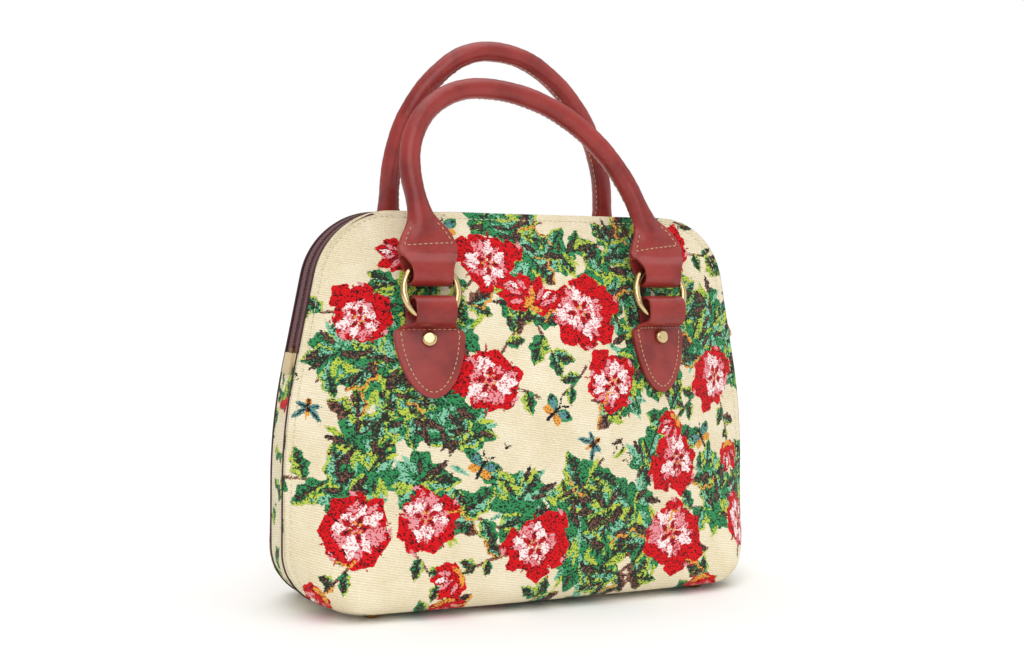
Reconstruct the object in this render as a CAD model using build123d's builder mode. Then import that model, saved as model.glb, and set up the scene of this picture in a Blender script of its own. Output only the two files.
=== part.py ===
"""A structured tapestry handbag with a zip over its top and two rolled leather handles.

The bag stands on four studs. X runs to the right seen from the front, -Y is the front and Z is up.
The origin is on the surface it stands on, under the middle of the bag. All sizes are millimetres.
"""

from math import cos, radians, sin, sqrt, tan
import os

from build123d import *

os.makedirs("parts", exist_ok=True)

# Bag body seen from the front
bag_width = 318.0
bag_top = 241.0
foot_height = 4.0
bottom_corner_radius = 34.0
knee_height = 112.0
knee_radius = 350.0
side_lean = 11.2
top_corner_radius = 48.0

# Bag body seen from the side and from above
base_depth = 120.0
strip_width = 28.0
base_edge_radius = 14.0
lean_power = 3.1
rim_width = 1.5
corner_inset_low = 18.0
corner_inset_high = 44.0
boxy_height = 110.0
boxy_share = 0.93
panel_pull = 0.45
edge_pull = 0.3
edge_swell = 0.33
boxy_swell = 0.12
edge_shares = (0.0, 0.1, 0.35, 0.7)
height_shares = (0.1, 0.18, 0.28, 0.4, 0.52, 0.64, 0.76, 0.85, 0.92, 0.965, 0.987)
trim_reach = 1.0

# Cloth, lining and board
wall = 2.6
lining_gap = 1.6
lining_thickness = 0.9
board_thickness = 2.0
board_margin = 18.0
layer_gap = 0.4

# Zip, from one side over the top to the other
zip_end_height = 155.0
zip_mouth_width = 6.4
coil_width = 5.6
coil_height = 2.6
coil_proud = 0.9
tape_thickness = 1.0
tape_recess = 0.7
zip_stop_length = 3.0
end_tab_length = 12.0
end_tab_width = 15.0
end_tab_thickness = 1.6
piping_radius = 0.9
piping_tail = 2.0
touch_gap = 0.05
strip_gap = 0.15

# Zip slider on the right-hand side
slider_height = 180.0
slider_length = 10.0
slider_width = 8.4
slider_wall = 1.1
slider_gap = 0.5
bail_height = 3.6
bail_width = 2.2
pull_length = 21.0
pull_width = 8.0
pull_neck_width = 5.4
pull_thickness = 1.4
pull_pin_radius = 0.7
pull_lean = 14.0
fork_gap = 0.3

# Leather tabs that carry the rings
tab_spacing = 156.0
tab_axis_height = 180.0
fold_width = 25.0
tab_width = 42.0
tab_length = 47.0
tab_shoulder_drop = 11.0
tab_tip_radius = 6.0
tab_tip_drop = 3.0
shield_top_drop = 1.5
tab_seam_drop = 9.0
leather = 1.8
tab_lift = 0.35
rivet_drop = 16.0
rivet_radius = 4.75
rivet_dome = 2.6
rivet_shank_radius = 1.4
rivet_hole_gap = 0.15
rivet_cap_radius = 4.0
rivet_cap_thickness = 0.9
dome_share = 0.8

# Brass rings
ring_radius = 17.0
ring_wire_radius = 2.25
loop_gap = 0.35
fold_space = 5.8

# Rolled handles
tube_radius = 6.3
strap_width = 37.0
strap_lap = 0.6
strap_flare = 3.0
strap_roundness = 0.49
strap_root = 8.0
strap_bend = 18.0
strap_neck = 16.0
front_lean = 14.5
back_lean = 12.0
front_crown = 142.8
back_crown = 168.3
crown_run = 2.0
# Width and thickness of the strap at distances from the ring, up to where it is a round tube
strap_sections = (
    (8.0, 31.0, 10.4),
    (14.0, 37.0, 7.4),
    (20.0, 36.4, 7.2),
    (28.0, 26.0, 9.0),
    (36.0, 15.0, 12.0),
    (42.0, 12.6, 12.6),
)
# Each leg's headings are degrees towards the middle, each followed by the radius that leads there
front_left_leg = (-10.0, ((8.0, 68.0), (90.0, 52.0)))
front_right_leg = (21.0, ((52.0, 112.0), (90.0, 85.0)))
back_left_leg = (-2.0, ((9.0, 140.0), (50.0, 92.0), (90.0, 42.0)))
back_right_leg = (8.0, ((30.0, 112.0), (60.0, 117.0), (90.0, 56.0)))

# Studs under the base
foot_inset_x = 9.5
foot_inset_y = 7.0
foot_radius = 6.0
foot_shank_radius = 1.4
foot_hole_gap = 0.15
foot_washer_radius = 5.0
foot_washer_thickness = 0.8

base_height = foot_height
half_strip = strip_width / 2
lean_slope = tan(radians(side_lean))
lining_grow = -(wall + lining_gap)
inside_grow = lining_grow - lining_thickness
board_height = base_height + wall + layer_gap
lining_floor = board_height + board_thickness + foot_washer_thickness + layer_gap
panel_reach = base_depth
board_length = bag_width - 2 * bottom_corner_radius - board_margin / 2
board_depth = base_depth - 2 * board_margin
foot_spacing_x = board_length - 2 * foot_inset_x
foot_spacing_y = board_depth - 2 * foot_inset_y
shield_top = tab_axis_height - shield_top_drop
tab_shoulder_height = tab_axis_height - tab_shoulder_drop
tab_seam_height = tab_axis_height - tab_seam_drop
tab_tip_height = tab_axis_height - tab_length
rivet_height = tab_axis_height - rivet_drop


def knee_start(grow):
    """Height and half width where the side turns inwards, on the outline moved out by grow."""
    return knee_height + grow * tan(radians(side_lean) / 2), bag_width / 2 + grow


def top_corner_x(grow):
    """Half width at which the leaning side would meet the top line."""
    knee_z, knee_x = knee_start(grow)
    return knee_x - (bag_top + grow - knee_z) * lean_slope


def half_width(z, grow):
    """Half width of the outline at height z, on the outline moved out by grow."""
    knee_z, knee_x = knee_start(grow)
    corner = bottom_corner_radius + grow
    bend = knee_radius + grow
    crown = top_corner_radius + grow
    bend_reach = bend * tan(radians(side_lean) / 2)
    crown_z = bag_top + grow - crown
    crown_x = top_corner_x(grow) - crown * tan(radians(90 - side_lean) / 2)
    if z < base_height - grow + corner:
        drop = base_height - grow + corner - z
        return knee_x - corner + sqrt(max(corner**2 - drop**2, 0))
    if z < knee_z - bend_reach:
        return knee_x
    if z < knee_z + bend_reach * cos(radians(side_lean)):
        return knee_x - bend + sqrt(bend**2 - (z - knee_z + bend_reach) ** 2)
    if z < crown_z + crown * sin(radians(side_lean)):
        return knee_x - (z - knee_z) * lean_slope
    return crown_x + sqrt(max(crown**2 - (z - crown_z) ** 2, 0))


def section_width(z, grow):
    """Half width of a horizontal section, always a little outside the outline that trims it."""
    lowest = base_height - grow + (base_edge_radius + grow) * edge_shares[1]
    return half_width(min(max(z, lowest), bag_top + grow - trim_reach), grow) + rim_width


def half_depth(z, grow):
    """Half depth of the bag at its middle, at height z, for the surface moved out by grow."""
    share = min(max((z - base_height) / (bag_top - base_height), 0), 1)
    depth = half_strip + (base_depth / 2 - half_strip) * (1 - share**lean_power) + grow
    edge = base_edge_radius + grow
    rise = z - (base_height - grow)
    if rise < edge:
        depth -= edge - sqrt(max(edge**2 - (edge - rise) ** 2, 0))
    return depth + rim_width


def front_depth(x, z, grow):
    """Half depth of the panel at x from the middle, between its corners."""
    corner_x, corner_y, depth, _ = section_values(z, grow)
    return depth - (depth - corner_y) * (x / corner_x) ** 2


def section_values(z, grow):
    """Corner place, middle depth and boxiness of the horizontal section at height z."""
    width = section_width(z, grow)
    depth = half_depth(z, grow)
    boxy = (1 - min((z - base_height) / boxy_height, 1)) ** 2 if z > base_height else 1
    corner_x = width - corner_inset_high + (corner_inset_high - corner_inset_low) * boxy
    share = (1 - boxy) * (1 - (corner_x / width) ** 2) + boxy * boxy_share
    corner_y = half_strip + grow + (depth - half_strip - grow) * share
    return corner_x, corner_y, depth, boxy


def section_face(z, grow):
    """One horizontal section: two swelling panels joined by the two flat side strips."""
    corner_x, corner_y, depth, boxy = section_values(z, grow)
    end_x = section_width(z, grow)
    end_y = half_strip + grow
    inset = end_x - corner_x
    slope = 2 * (depth - corner_y) / corner_x
    reach = panel_pull * inset
    swing = end_x - edge_pull * (1 - boxy) * inset
    lift = end_y + (corner_y - end_y) * (edge_swell + boxy_swell * boxy)
    with BuildSketch(Plane.XY.offset(z)) as section:
        with BuildLine():
            for side in (-1, 1):
                Bezier(
                    (-corner_x, side * corner_y),
                    (0, side * (2 * depth - corner_y)),
                    (corner_x, side * corner_y),
                )
                for end in (-1, 1):
                    Bezier(
                        (end * corner_x, side * corner_y),
                        (end * (corner_x + reach), side * (corner_y - slope * reach)),
                        (end * swing, side * lift),
                        (end * end_x, side * end_y),
                    )
            for end in (-1, 1):
                Line((end * end_x, -end_y), (end * end_x, end_y))
        make_face()
    return section.sketch


def swollen_solid(grow):
    """The swelling form of the bag before its front outline trims it, moved out by grow."""
    bottom = base_height - grow
    height = bag_top + grow - bottom
    heights = [bottom + (base_edge_radius + grow) * share for share in edge_shares]
    heights += [bottom + height * share for share in height_shares]
    with BuildPart() as form:
        for z in (*heights, bottom + height + trim_reach):
            add(section_face(z, grow))
        loft()
    return form.part


def outline_solid(grow, half_reach):
    """The front outline of the bag, moved out by grow, as a slab about the middle plane."""
    knee_z, knee_x = knee_start(grow)
    bottom = base_height - grow
    top = bag_top + grow
    radii = [bottom_corner_radius + grow, knee_radius + grow, top_corner_radius + grow]
    corners = [(0, bottom), (knee_x, bottom), (knee_x, knee_z), (top_corner_x(grow), top), (0, top)]
    with BuildPart() as slab:
        with BuildSketch(Plane.XZ.offset(-half_reach)):
            with BuildLine():
                FilletPolyline(*corners, radius=radii)
                mirror(about=Plane.YZ)
            make_face()
        extrude(amount=2 * half_reach)
    return slab.part


def bag_solid(grow):
    """The whole bag as one solid, moved out by grow."""
    with BuildPart() as bag:
        add(swollen_solid(grow))
        add(outline_solid(grow, panel_reach), mode=Mode.INTERSECT)
    return bag.part


def lining_space(grow):
    """The space inside the lining, above its floor."""
    with BuildPart() as space:
        add(bag_solid(grow))
        with BuildSketch(Plane.XY.offset(base_height)):
            Rectangle(bag_width, base_depth)
        extrude(amount=lining_floor + lining_thickness - base_height, mode=Mode.SUBTRACT)
    return space.part


def side_band(outer, inner, reach):
    """The wall between two outlines, as wide as twice the reach."""
    with BuildPart() as band:
        add(outline_solid(outer, reach))
        add(outline_solid(inner, reach + rim_width), mode=Mode.SUBTRACT)
    return band.part


def fold_slot(radius):
    """The slot-shaped side view of the fold round a ring, on the front's YZ plane."""
    with BuildSketch() as slot:
        with Locations((tab_axis_y, tab_axis_height), (tab_axis_y, tab_axis_height + fold_rise)):
            Circle(radius)
        make_hull()
    return slot.sketch


def fold_face(x):
    """The tab's fold seen from the side at x, drawn down to the seam on the panel."""
    seam_y = -(front_depth(x, tab_seam_height, 0) + tab_lift + leather)
    with BuildSketch(Plane.YZ.offset(x)) as fold:
        add(fold_slot(loop_outside))
        with Locations((seam_y, tab_seam_height)):
            Circle(leather)
        make_hull()
    return fold.sketch


def leaning_plane(lean):
    """The plane through the front tab axis that leans back towards the bag by the given angle."""
    angle = radians(lean)
    return Plane(
        origin=(0, tab_axis_y, tab_axis_height), x_dir=(1, 0, 0), z_dir=(0, -cos(angle), sin(angle))
    )


def arc_steps(first_heading, arcs):
    """Leg pieces as (heading before, heading after, length), from the ring to the crown."""
    steps = [(0, 0, strap_root), (0, first_heading, strap_bend), (first_heading, first_heading, strap_neck)]
    heading = first_heading
    for turn, radius in arcs:
        steps.append((heading, turn, radius * radians(turn - heading)))
        heading = turn
    return steps


def step_move(before, after, length):
    """Travel towards the middle and upwards along one piece of a leg."""
    if before == after:
        return length * sin(radians(before)), length * cos(radians(before))
    bend = length / radians(after - before)
    return (
        bend * (cos(radians(before)) - cos(radians(after))),
        bend * (sin(radians(after)) - sin(radians(before))),
    )


def leg_travel(steps):
    """Travel towards the middle and upwards along a whole leg."""
    moves = [step_move(*step) for step in steps]
    return sum(move[0] for move in moves), sum(move[1] for move in moves)


def solve_left(crown, heading, arcs):
    """Lengthens the left leg's straight so that it reaches the crown; also gives its end in x."""
    steps = arc_steps(heading, arcs)
    across, up = leg_travel(steps)
    spare = (crown - 2 * ring_drop - up) / cos(radians(heading))
    steps.insert(3, (heading, heading, spare))
    return steps, -tab_x + across + spare * sin(radians(heading))


def solve_right(crown, left_x, heading, arcs):
    """Sets the right leg's straight and last radius so that both legs meet at the crown."""
    steps = arc_steps(heading, arcs[:-1])
    across, up = leg_travel(steps)
    turn, last_turn = arcs[-2][0], arcs[-1][0]
    gap_x = tab_x - left_x - crown_run - across
    gap_up = crown - 2 * ring_drop - up
    unit_x, unit_up = step_move(turn, last_turn, radians(last_turn - turn))
    run_x, run_up = sin(radians(heading)), cos(radians(heading))
    area = run_x * unit_up - unit_x * run_up
    spare = (gap_x * unit_up - unit_x * gap_up) / area
    bend = (run_x * gap_up - gap_x * run_up) / area
    steps.insert(3, (heading, heading, spare))
    steps.append((turn, last_turn, bend * radians(last_turn - turn)))
    return steps


def leg_points(steps, side):
    """Start, middle and end of each piece of a leg in the handle's own plane, with headings."""
    x, up = side * tab_x, 2 * ring_drop
    points = []
    for before, after, length in steps:
        half = step_move(before, (before + after) / 2, length / 2)
        whole = step_move(before, after, length)
        middle = (x - side * half[0], up + half[1])
        end = (x - side * whole[0], up + whole[1])
        points.append(((x, up), middle, end))
        x, up = end
    return points


def leg_place(steps, side, distance):
    """Cross-section plane of a leg at a distance along it."""
    x, up = side * tab_x, 2 * ring_drop
    for before, after, length in steps:
        part_length = min(distance, length)
        heading = before + (after - before) * part_length / length
        move = step_move(before, heading, part_length)
        x, up = x - side * move[0], up + move[1]
        distance -= part_length
        if distance <= 0:
            break
    angle = radians(heading)
    return Plane(
        origin=(x, up, 0), x_dir=(cos(angle), side * sin(angle), 0), z_dir=(-side * sin(angle), cos(angle), 0)
    )


def strap_end(steps, side):
    """The flat end of a handle: a fold round the ring that narrows into the rolled tube."""
    with BuildPart() as end:
        with BuildSketch(Plane.YZ.offset(side * tab_x - strap_width / 2)):
            with Locations((2 * ring_drop - fold_rise, 0), (2 * ring_drop, 0)):
                Circle(loop_outside)
            with Locations((2 * ring_drop + strap_root - strap_lap / 2, 0)):
                Rectangle(strap_lap, strap_sections[0][2])
            make_hull()
        extrude(amount=strap_width)
        with BuildSketch(Plane.YZ):
            with Locations((2 * ring_drop - fold_rise, 0), (2 * ring_drop, 0)):
                Circle(loop_radius)
            make_hull()
        extrude(amount=bag_width, both=True, mode=Mode.SUBTRACT)
        with BuildSketch():
            with Locations((side * tab_x, 2 * ring_drop)):
                Polygon(
                    (-half_fold, -loop_outside - strap_root),
                    (half_fold, -loop_outside - strap_root),
                    (half_fold, strap_flare),
                    (strap_sections[0][1] / 2, strap_root),
                    (-strap_sections[0][1] / 2, strap_root),
                    (-half_fold, strap_flare),
                    align=None,
                )
        extrude(amount=strap_width, both=True, mode=Mode.INTERSECT)
        for distance, width, thickness in strap_sections:
            with BuildSketch(leg_place(steps, side, distance)):
                RectangleRounded(width, thickness, thickness * strap_roundness)
        loft()
    return end.part


def rolled_handle(left_steps, right_steps):
    """A whole handle in its own plane: two strap ends and the tube between them."""
    left = leg_points(left_steps, -1)[3:]
    right = leg_points(right_steps, 1)[3:]
    with BuildPart() as handle:
        with BuildLine():
            for start, middle, end in left:
                ThreePointArc(start, middle, end) if bends(start, middle, end) else Line(start, end)
            Line(left[-1][2], right[-1][2])
            for start, middle, end in reversed(right):
                ThreePointArc(end, middle, start) if bends(start, middle, end) else Line(end, start)
        tube_start = strap_root + strap_bend + strap_neck
        with BuildSketch(leg_place(left_steps, -1, tube_start)):
            Circle(tube_radius)
        sweep()
        add(strap_end(left_steps, -1))
        add(strap_end(right_steps, 1))
    return handle.part


def bends(start, middle, end):
    """Whether three points lie on a bend and not on a straight."""
    area = (middle[0] - start[0]) * (end[1] - start[1]) - (middle[1] - start[1]) * (end[0] - start[0])
    return abs(area) > touch_gap


def mirrored_corners(part):
    """The part and its three mirror images: front right, front left, back right, back left."""
    left = part.mirror(Plane.YZ)
    return [part, left, part.mirror(Plane.XZ), left.mirror(Plane.XZ)]


def save(part, name):
    """Labels a piece and writes its file."""
    part.label = name
    export_step(part, f"parts/{name}.step")


outer_bag = bag_solid(0)
inner_bag = bag_solid(-wall)
corner_names = ("front_right", "front_left", "back_right", "back_left")

# Where the tab and ring axes lie in front of the panel
tab_x = tab_spacing / 2
half_fold = fold_width / 2
ring_outside = ring_radius + ring_wire_radius
wire_inside = sqrt((ring_radius - ring_wire_radius) ** 2 - half_fold**2)
loop_radius = (ring_outside - wire_inside) / 2 + loop_gap
loop_outside = loop_radius + leather
ring_drop = (ring_outside + wire_inside) / 2
fold_rise = ring_drop - fold_space / 2 - loop_outside
tab_axis_y = -(front_depth(tab_x - half_fold, tab_axis_height, 0) + tab_lift + loop_outside)

# The rivet's seat on the front right of the panel
seat_step = 2.0
seat_depth = front_depth(tab_x, rivet_height, 0)
seat_side = front_depth(tab_x + seat_step, rivet_height, 0) - seat_depth
seat_rise = front_depth(tab_x, rivet_height + seat_step, 0) - seat_depth
rivet_seat = Plane(
    origin=(tab_x, -seat_depth, rivet_height),
    z_dir=(-seat_side / seat_step, -1, -seat_rise / seat_step),
)

with BuildPart() as rivet_bore:
    with BuildSketch(rivet_seat):
        Circle(rivet_shank_radius + rivet_hole_gap)
    extrude(amount=base_edge_radius, both=True)
rivet_bores = mirrored_corners(rivet_bore.part)

# Tapestry body: front, base and back in one cloth, open along the side strips and the zip
with BuildPart() as tapestry_body:
    add(outer_bag)
    add(inner_bag, mode=Mode.SUBTRACT)
    with BuildSketch(Plane.XY.offset(base_height + wall)):
        Rectangle(bag_width + wall, strip_width)
    extrude(amount=bag_top, mode=Mode.SUBTRACT)
    with BuildSketch(Plane.XY):
        with Locations((bag_width / 2, 0), (-bag_width / 2, 0)):
            Rectangle(bottom_corner_radius * 2, strip_width)
    extrude(amount=bag_top, mode=Mode.SUBTRACT)
    add(rivet_bores, mode=Mode.SUBTRACT)
    with BuildSketch(Plane.XY):
        with GridLocations(foot_spacing_x, foot_spacing_y, 2, 2):
            Circle(foot_shank_radius + foot_hole_gap)
    extrude(amount=lining_floor, mode=Mode.SUBTRACT)
save(tapestry_body.part, "tapestry_body")

# Side strips: the cloth gussets under the zip's two ends
with BuildPart() as side_strip:
    add(side_band(0, -wall, half_strip - strip_gap))
    with BuildSketch(Plane.XY):
        with Locations((bag_width / 2 - bottom_corner_radius + strip_gap, 0)):
            Rectangle(bag_width, strip_width, align=(Align.MIN, Align.CENTER))
    extrude(amount=zip_end_height, mode=Mode.INTERSECT)
save(side_strip.part, "side_strip_right")
save(side_strip.part.mirror(Plane.YZ), "side_strip_left")

# Lining: a thin inner bag, open along the zip
with BuildPart() as lining:
    add(bag_solid(lining_grow))
    with BuildSketch(Plane.XY.offset(base_height)):
        Rectangle(bag_width, base_depth)
    extrude(amount=lining_floor - base_height, mode=Mode.SUBTRACT)
    add(lining_space(inside_grow), mode=Mode.SUBTRACT)
    with BuildSketch(Plane.XY.offset(zip_end_height)):
        Rectangle(bag_width, zip_mouth_width)
    extrude(amount=bag_top, mode=Mode.SUBTRACT)
save(lining.part, "lining")

# Base board: the stiff sheet between the cloth and the lining
with BuildPart() as base_board:
    with BuildSketch(Plane.XY.offset(board_height)):
        RectangleRounded(board_length, board_depth, board_margin)
        with GridLocations(foot_spacing_x, foot_spacing_y, 2, 2):
            Circle(foot_shank_radius + foot_hole_gap, mode=Mode.SUBTRACT)
    extrude(amount=board_thickness)
save(base_board.part, "base_board")

# Piping along both edges of the side strips and the zip
piping_grow = piping_radius + touch_gap
piping_end = bag_width / 2 - bottom_corner_radius - piping_tail
piping_base = base_height - piping_grow
knee_z, knee_x = knee_start(piping_grow)
with BuildPart() as piping:
    with BuildLine(Plane.XZ.offset(half_strip)):
        FilletPolyline(
            (piping_end, piping_base),
            (knee_x, piping_base),
            (knee_x, knee_z),
            (top_corner_x(piping_grow), bag_top + piping_grow),
            (0, bag_top + piping_grow),
            radius=[
                bottom_corner_radius + piping_grow,
                knee_radius + piping_grow,
                top_corner_radius + piping_grow,
            ],
        )
        mirror(about=Plane.YZ)
    with BuildSketch(Plane(origin=(piping_end, -half_strip, piping_base), z_dir=(1, 0, 0))):
        Circle(piping_radius)
    sweep()
save(piping.part, "piping_front")
save(piping.part.mirror(Plane.XZ), "piping_back")

# Zip: two tapes, the coil between them, a stop at each end and an end tab under each stop
tape_width = half_strip - coil_width / 2 - 2 * strip_gap
with BuildPart() as zip_tape:
    add(side_band(-tape_recess, -tape_recess - tape_thickness, half_strip))
    with BuildSketch(Plane.XY.offset(zip_end_height + strip_gap)):
        with Locations((0, -coil_width / 2 - strip_gap)):
            Rectangle(bag_width, tape_width, align=(Align.CENTER, Align.MAX))
    extrude(amount=bag_top, mode=Mode.INTERSECT)
save(zip_tape.part, "zip_tape_front")
save(zip_tape.part.mirror(Plane.XZ), "zip_tape_back")
stop_top = zip_end_height + strip_gap + zip_stop_length
with BuildPart() as zip_coil:
    add(side_band(coil_proud, coil_proud - coil_height, coil_width / 2))
    with BuildSketch(Plane.XY.offset(stop_top + strip_gap)):
        Rectangle(2 * bag_width, strip_width)
    extrude(amount=bag_top, mode=Mode.INTERSECT)
save(zip_coil.part, "zip_coil")
with BuildPart() as zip_stop:
    add(side_band(coil_proud, coil_proud - coil_height, coil_width / 2))
    with BuildSketch(Plane.XY.offset(zip_end_height + strip_gap)):
        Rectangle(bag_width, strip_width, align=(Align.MIN, Align.CENTER))
    extrude(amount=zip_stop_length, mode=Mode.INTERSECT)
save(zip_stop.part, "zip_stop_right")
save(zip_stop.part.mirror(Plane.YZ), "zip_stop_left")
with BuildPart() as end_tab:
    add(side_band(strip_gap + end_tab_thickness, strip_gap, end_tab_width / 2))
    with BuildSketch(Plane.XY.offset(zip_end_height - end_tab_length)):
        Rectangle(bag_width, strip_width, align=(Align.MIN, Align.CENTER))
    extrude(amount=end_tab_length, mode=Mode.INTERSECT)
save(end_tab.part, "zip_end_tab_right")
save(end_tab.part.mirror(Plane.YZ), "zip_end_tab_left")

# Slider on the zip's right-hand side, with a bail that carries the pull
lean_cos = cos(radians(side_lean))
lean_sin = sin(radians(side_lean))
slider_seat = Plane(
    origin=(half_width(slider_height, 0), 0, slider_height),
    x_dir=(-lean_sin, 0, lean_cos),
    z_dir=(lean_cos, 0, lean_sin),
)
coil_room = coil_proud + slider_gap
slider_top = coil_room + slider_wall
slider_low = slider_gap - tape_recess
window_height = 2 * pull_pin_radius + 2 * slider_gap
window_length = slider_length / 2 - slider_wall
with BuildPart() as zip_slider:
    with BuildSketch(slider_seat.offset(slider_low)):
        RectangleRounded(slider_length, slider_width, slider_wall)
    extrude(amount=slider_top - slider_low)
    with BuildSketch(slider_seat.offset(slider_low)):
        Rectangle(2 * slider_length, coil_width + 2 * slider_gap)
    extrude(amount=coil_room - slider_low, mode=Mode.SUBTRACT)
    with BuildSketch(slider_seat.offset(slider_top)):
        Rectangle(slider_length - 2 * slider_wall, bail_width)
    extrude(amount=bail_height)
    with BuildSketch(slider_seat.offset(slider_top)):
        Rectangle(window_length, 2 * bail_width)
    extrude(amount=window_height, mode=Mode.SUBTRACT)
save(zip_slider.part, "zip_slider")

# Pull: a flat tongue forked about the bail, with a pin through the bail's window
pin_height = slider_top + window_height / 2
pull_eye = slider_seat.location * Location((0, 0, pin_height), (0, pull_lean, 0))
fork_length = (slider_length - 2 * slider_wall) / 2 + 2 * slider_gap
with BuildPart() as zip_pull:
    with BuildSketch():
        with BuildLine():
            Polyline(
                (pull_pin_radius, pull_neck_width / 2),
                (-fork_length - pull_thickness, pull_neck_width / 2),
                (-pull_length + pull_width / 2, pull_width / 2),
            )
            ThreePointArc(
                (-pull_length + pull_width / 2, pull_width / 2),
                (-pull_length, 0),
                (-pull_length + pull_width / 2, -pull_width / 2),
            )
            Polyline(
                (-pull_length + pull_width / 2, -pull_width / 2),
                (-fork_length - pull_thickness, -pull_neck_width / 2),
                (pull_pin_radius, -pull_neck_width / 2),
                (pull_pin_radius, pull_neck_width / 2),
            )
        make_face()
    extrude(amount=pull_thickness / 2, both=True)
    with BuildSketch(Plane.XY.offset(-pull_thickness)):
        with Locations((-fork_length, 0)):
            Rectangle(
                2 * fork_length, bail_width + 2 * fork_gap, align=(Align.MIN, Align.CENTER)
            )
    extrude(amount=2 * pull_thickness, mode=Mode.SUBTRACT)
    with BuildSketch(Plane.XZ.offset(-pull_neck_width / 2)):
        Circle(pull_pin_radius)
    extrude(amount=pull_neck_width)
save(zip_pull.part.moved(pull_eye), "zip_pull")

# Leather tab on the front right: a shield against the panel, folded at its top round the ring
with BuildPart() as tab:
    with BuildSketch(Plane.XZ):
        with Locations((tab_x, 0)):
            Polygon(
                (-half_fold, tab_axis_height),
                (-half_fold, shield_top),
                (-tab_width / 2, tab_shoulder_height),
                (0, tab_tip_height - tab_tip_drop),
                (tab_width / 2, tab_shoulder_height),
                (half_fold, shield_top),
                (half_fold, tab_axis_height),
                align=None,
            )
    extrude(amount=panel_reach)
    fillet(tab.edges().filter_by(Axis.Y).sort_by(Axis.Z)[0], radius=tab_tip_radius)
    fillet(tab.edges().filter_by(Axis.Y).sort_by(Axis.Z)[2:6], radius=tab_tip_radius / 2)
    add(swollen_solid(tab_lift + 2 * leather), mode=Mode.INTERSECT)
    for end in (-half_fold, half_fold):
        add(fold_face(tab_x + end))
    loft(ruled=True)
    with BuildSketch(Plane.YZ):
        add(fold_slot(loop_radius))
    extrude(amount=bag_width, mode=Mode.SUBTRACT)
    add(swollen_solid(tab_lift), mode=Mode.SUBTRACT)
    add(rivet_bores[0], mode=Mode.SUBTRACT)
for part, corner in zip(mirrored_corners(tab.part), corner_names):
    save(part, f"tab_{corner}")

# Rivets through tab and panel: a dome outside, a flat cap inside
seat_slope = sqrt(1 + (seat_side**2 + seat_rise**2) / seat_step**2)
shield_depth = front_depth(tab_x, rivet_height, tab_lift + 2 * leather)
rivet_face = (shield_depth - seat_depth) / seat_slope + strip_gap
with BuildPart() as rivet:
    with BuildSketch(rivet_seat.offset(rivet_face)):
        Circle(rivet_radius)
    extrude(amount=rivet_dome)
    fillet(rivet.faces().sort_by(Axis.Y)[0].edges(), radius=rivet_dome * dome_share)
    with BuildSketch(rivet_seat.offset(rivet_face)):
        Circle(rivet_shank_radius)
    extrude(amount=-rivet_face - wall - layer_gap)
    with BuildSketch(rivet_seat.offset(-wall - layer_gap)):
        Circle(rivet_cap_radius)
    extrude(amount=-rivet_cap_thickness)
for part, corner in zip(mirrored_corners(rivet.part), corner_names):
    save(part, f"rivet_{corner}")

# Rings in the tabs, leaning back with the handles they carry
front_lie = leaning_plane(front_lean)
back_lie = leaning_plane(back_lean)
for lie, side in ((front_lie, "front"), (back_lie, "back")):
    with BuildPart() as ring:
        with Locations((tab_x, ring_drop)):
            Torus(ring_radius, ring_wire_radius)
    placed = ring.part.moved(lie.location)
    if side == "back":
        placed = placed.mirror(Plane.XZ)
    save(placed, f"ring_{side}_right")
    save(placed.mirror(Plane.YZ), f"ring_{side}_left")

# Rolled handles: flat strap ends folded round the rings, rolled into a tube between them
handles = (
    ("front", front_lie, front_crown, front_left_leg, front_right_leg),
    ("back", back_lie, back_crown, back_left_leg, back_right_leg),
)
for side, lie, crown, left_leg, right_leg in handles:
    left_arcs, left_x = solve_left(crown, *left_leg)
    right_arcs = solve_right(crown, left_x, *right_leg)
    flat = rolled_handle(left_arcs, right_arcs)
    placed = flat.moved(lie.location)
    save(placed.mirror(Plane.XZ) if side == "back" else placed, f"handle_{side}")

# Studs through base and board, each held by a washer under the lining
with BuildPart() as foot:
    with BuildSketch():
        Circle(foot_radius)
    extrude(amount=foot_height - touch_gap)
    fillet(foot.faces().sort_by(Axis.Z)[0].edges(), radius=foot_height * dome_share)
    with BuildSketch():
        Circle(foot_shank_radius)
    extrude(amount=board_height + board_thickness + layer_gap / 2)
    with BuildSketch(Plane.XY.offset(board_height + board_thickness + layer_gap / 2)):
        Circle(foot_washer_radius)
    extrude(amount=foot_washer_thickness)
stud = foot.part.moved(Location((foot_spacing_x / 2, -foot_spacing_y / 2, 0)))
for part, corner in zip(mirrored_corners(stud), corner_names):
    save(part, f"foot_{corner}")
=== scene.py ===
"""A structured tapestry handbag with a zip over its top and two rolled leather handles.

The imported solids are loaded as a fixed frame. The cloth, the leather tabs and handles, the zip coil and
the stitching are built here around that frame, and every piece rides on the body that carries it.
"""

from __future__ import annotations

import logging
import math
from collections.abc import Callable, Sequence
from dataclasses import dataclass, field
from enum import Enum

import bmesh
import bpy
import numpy as np
from mathutils import Matrix, Vector

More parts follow.
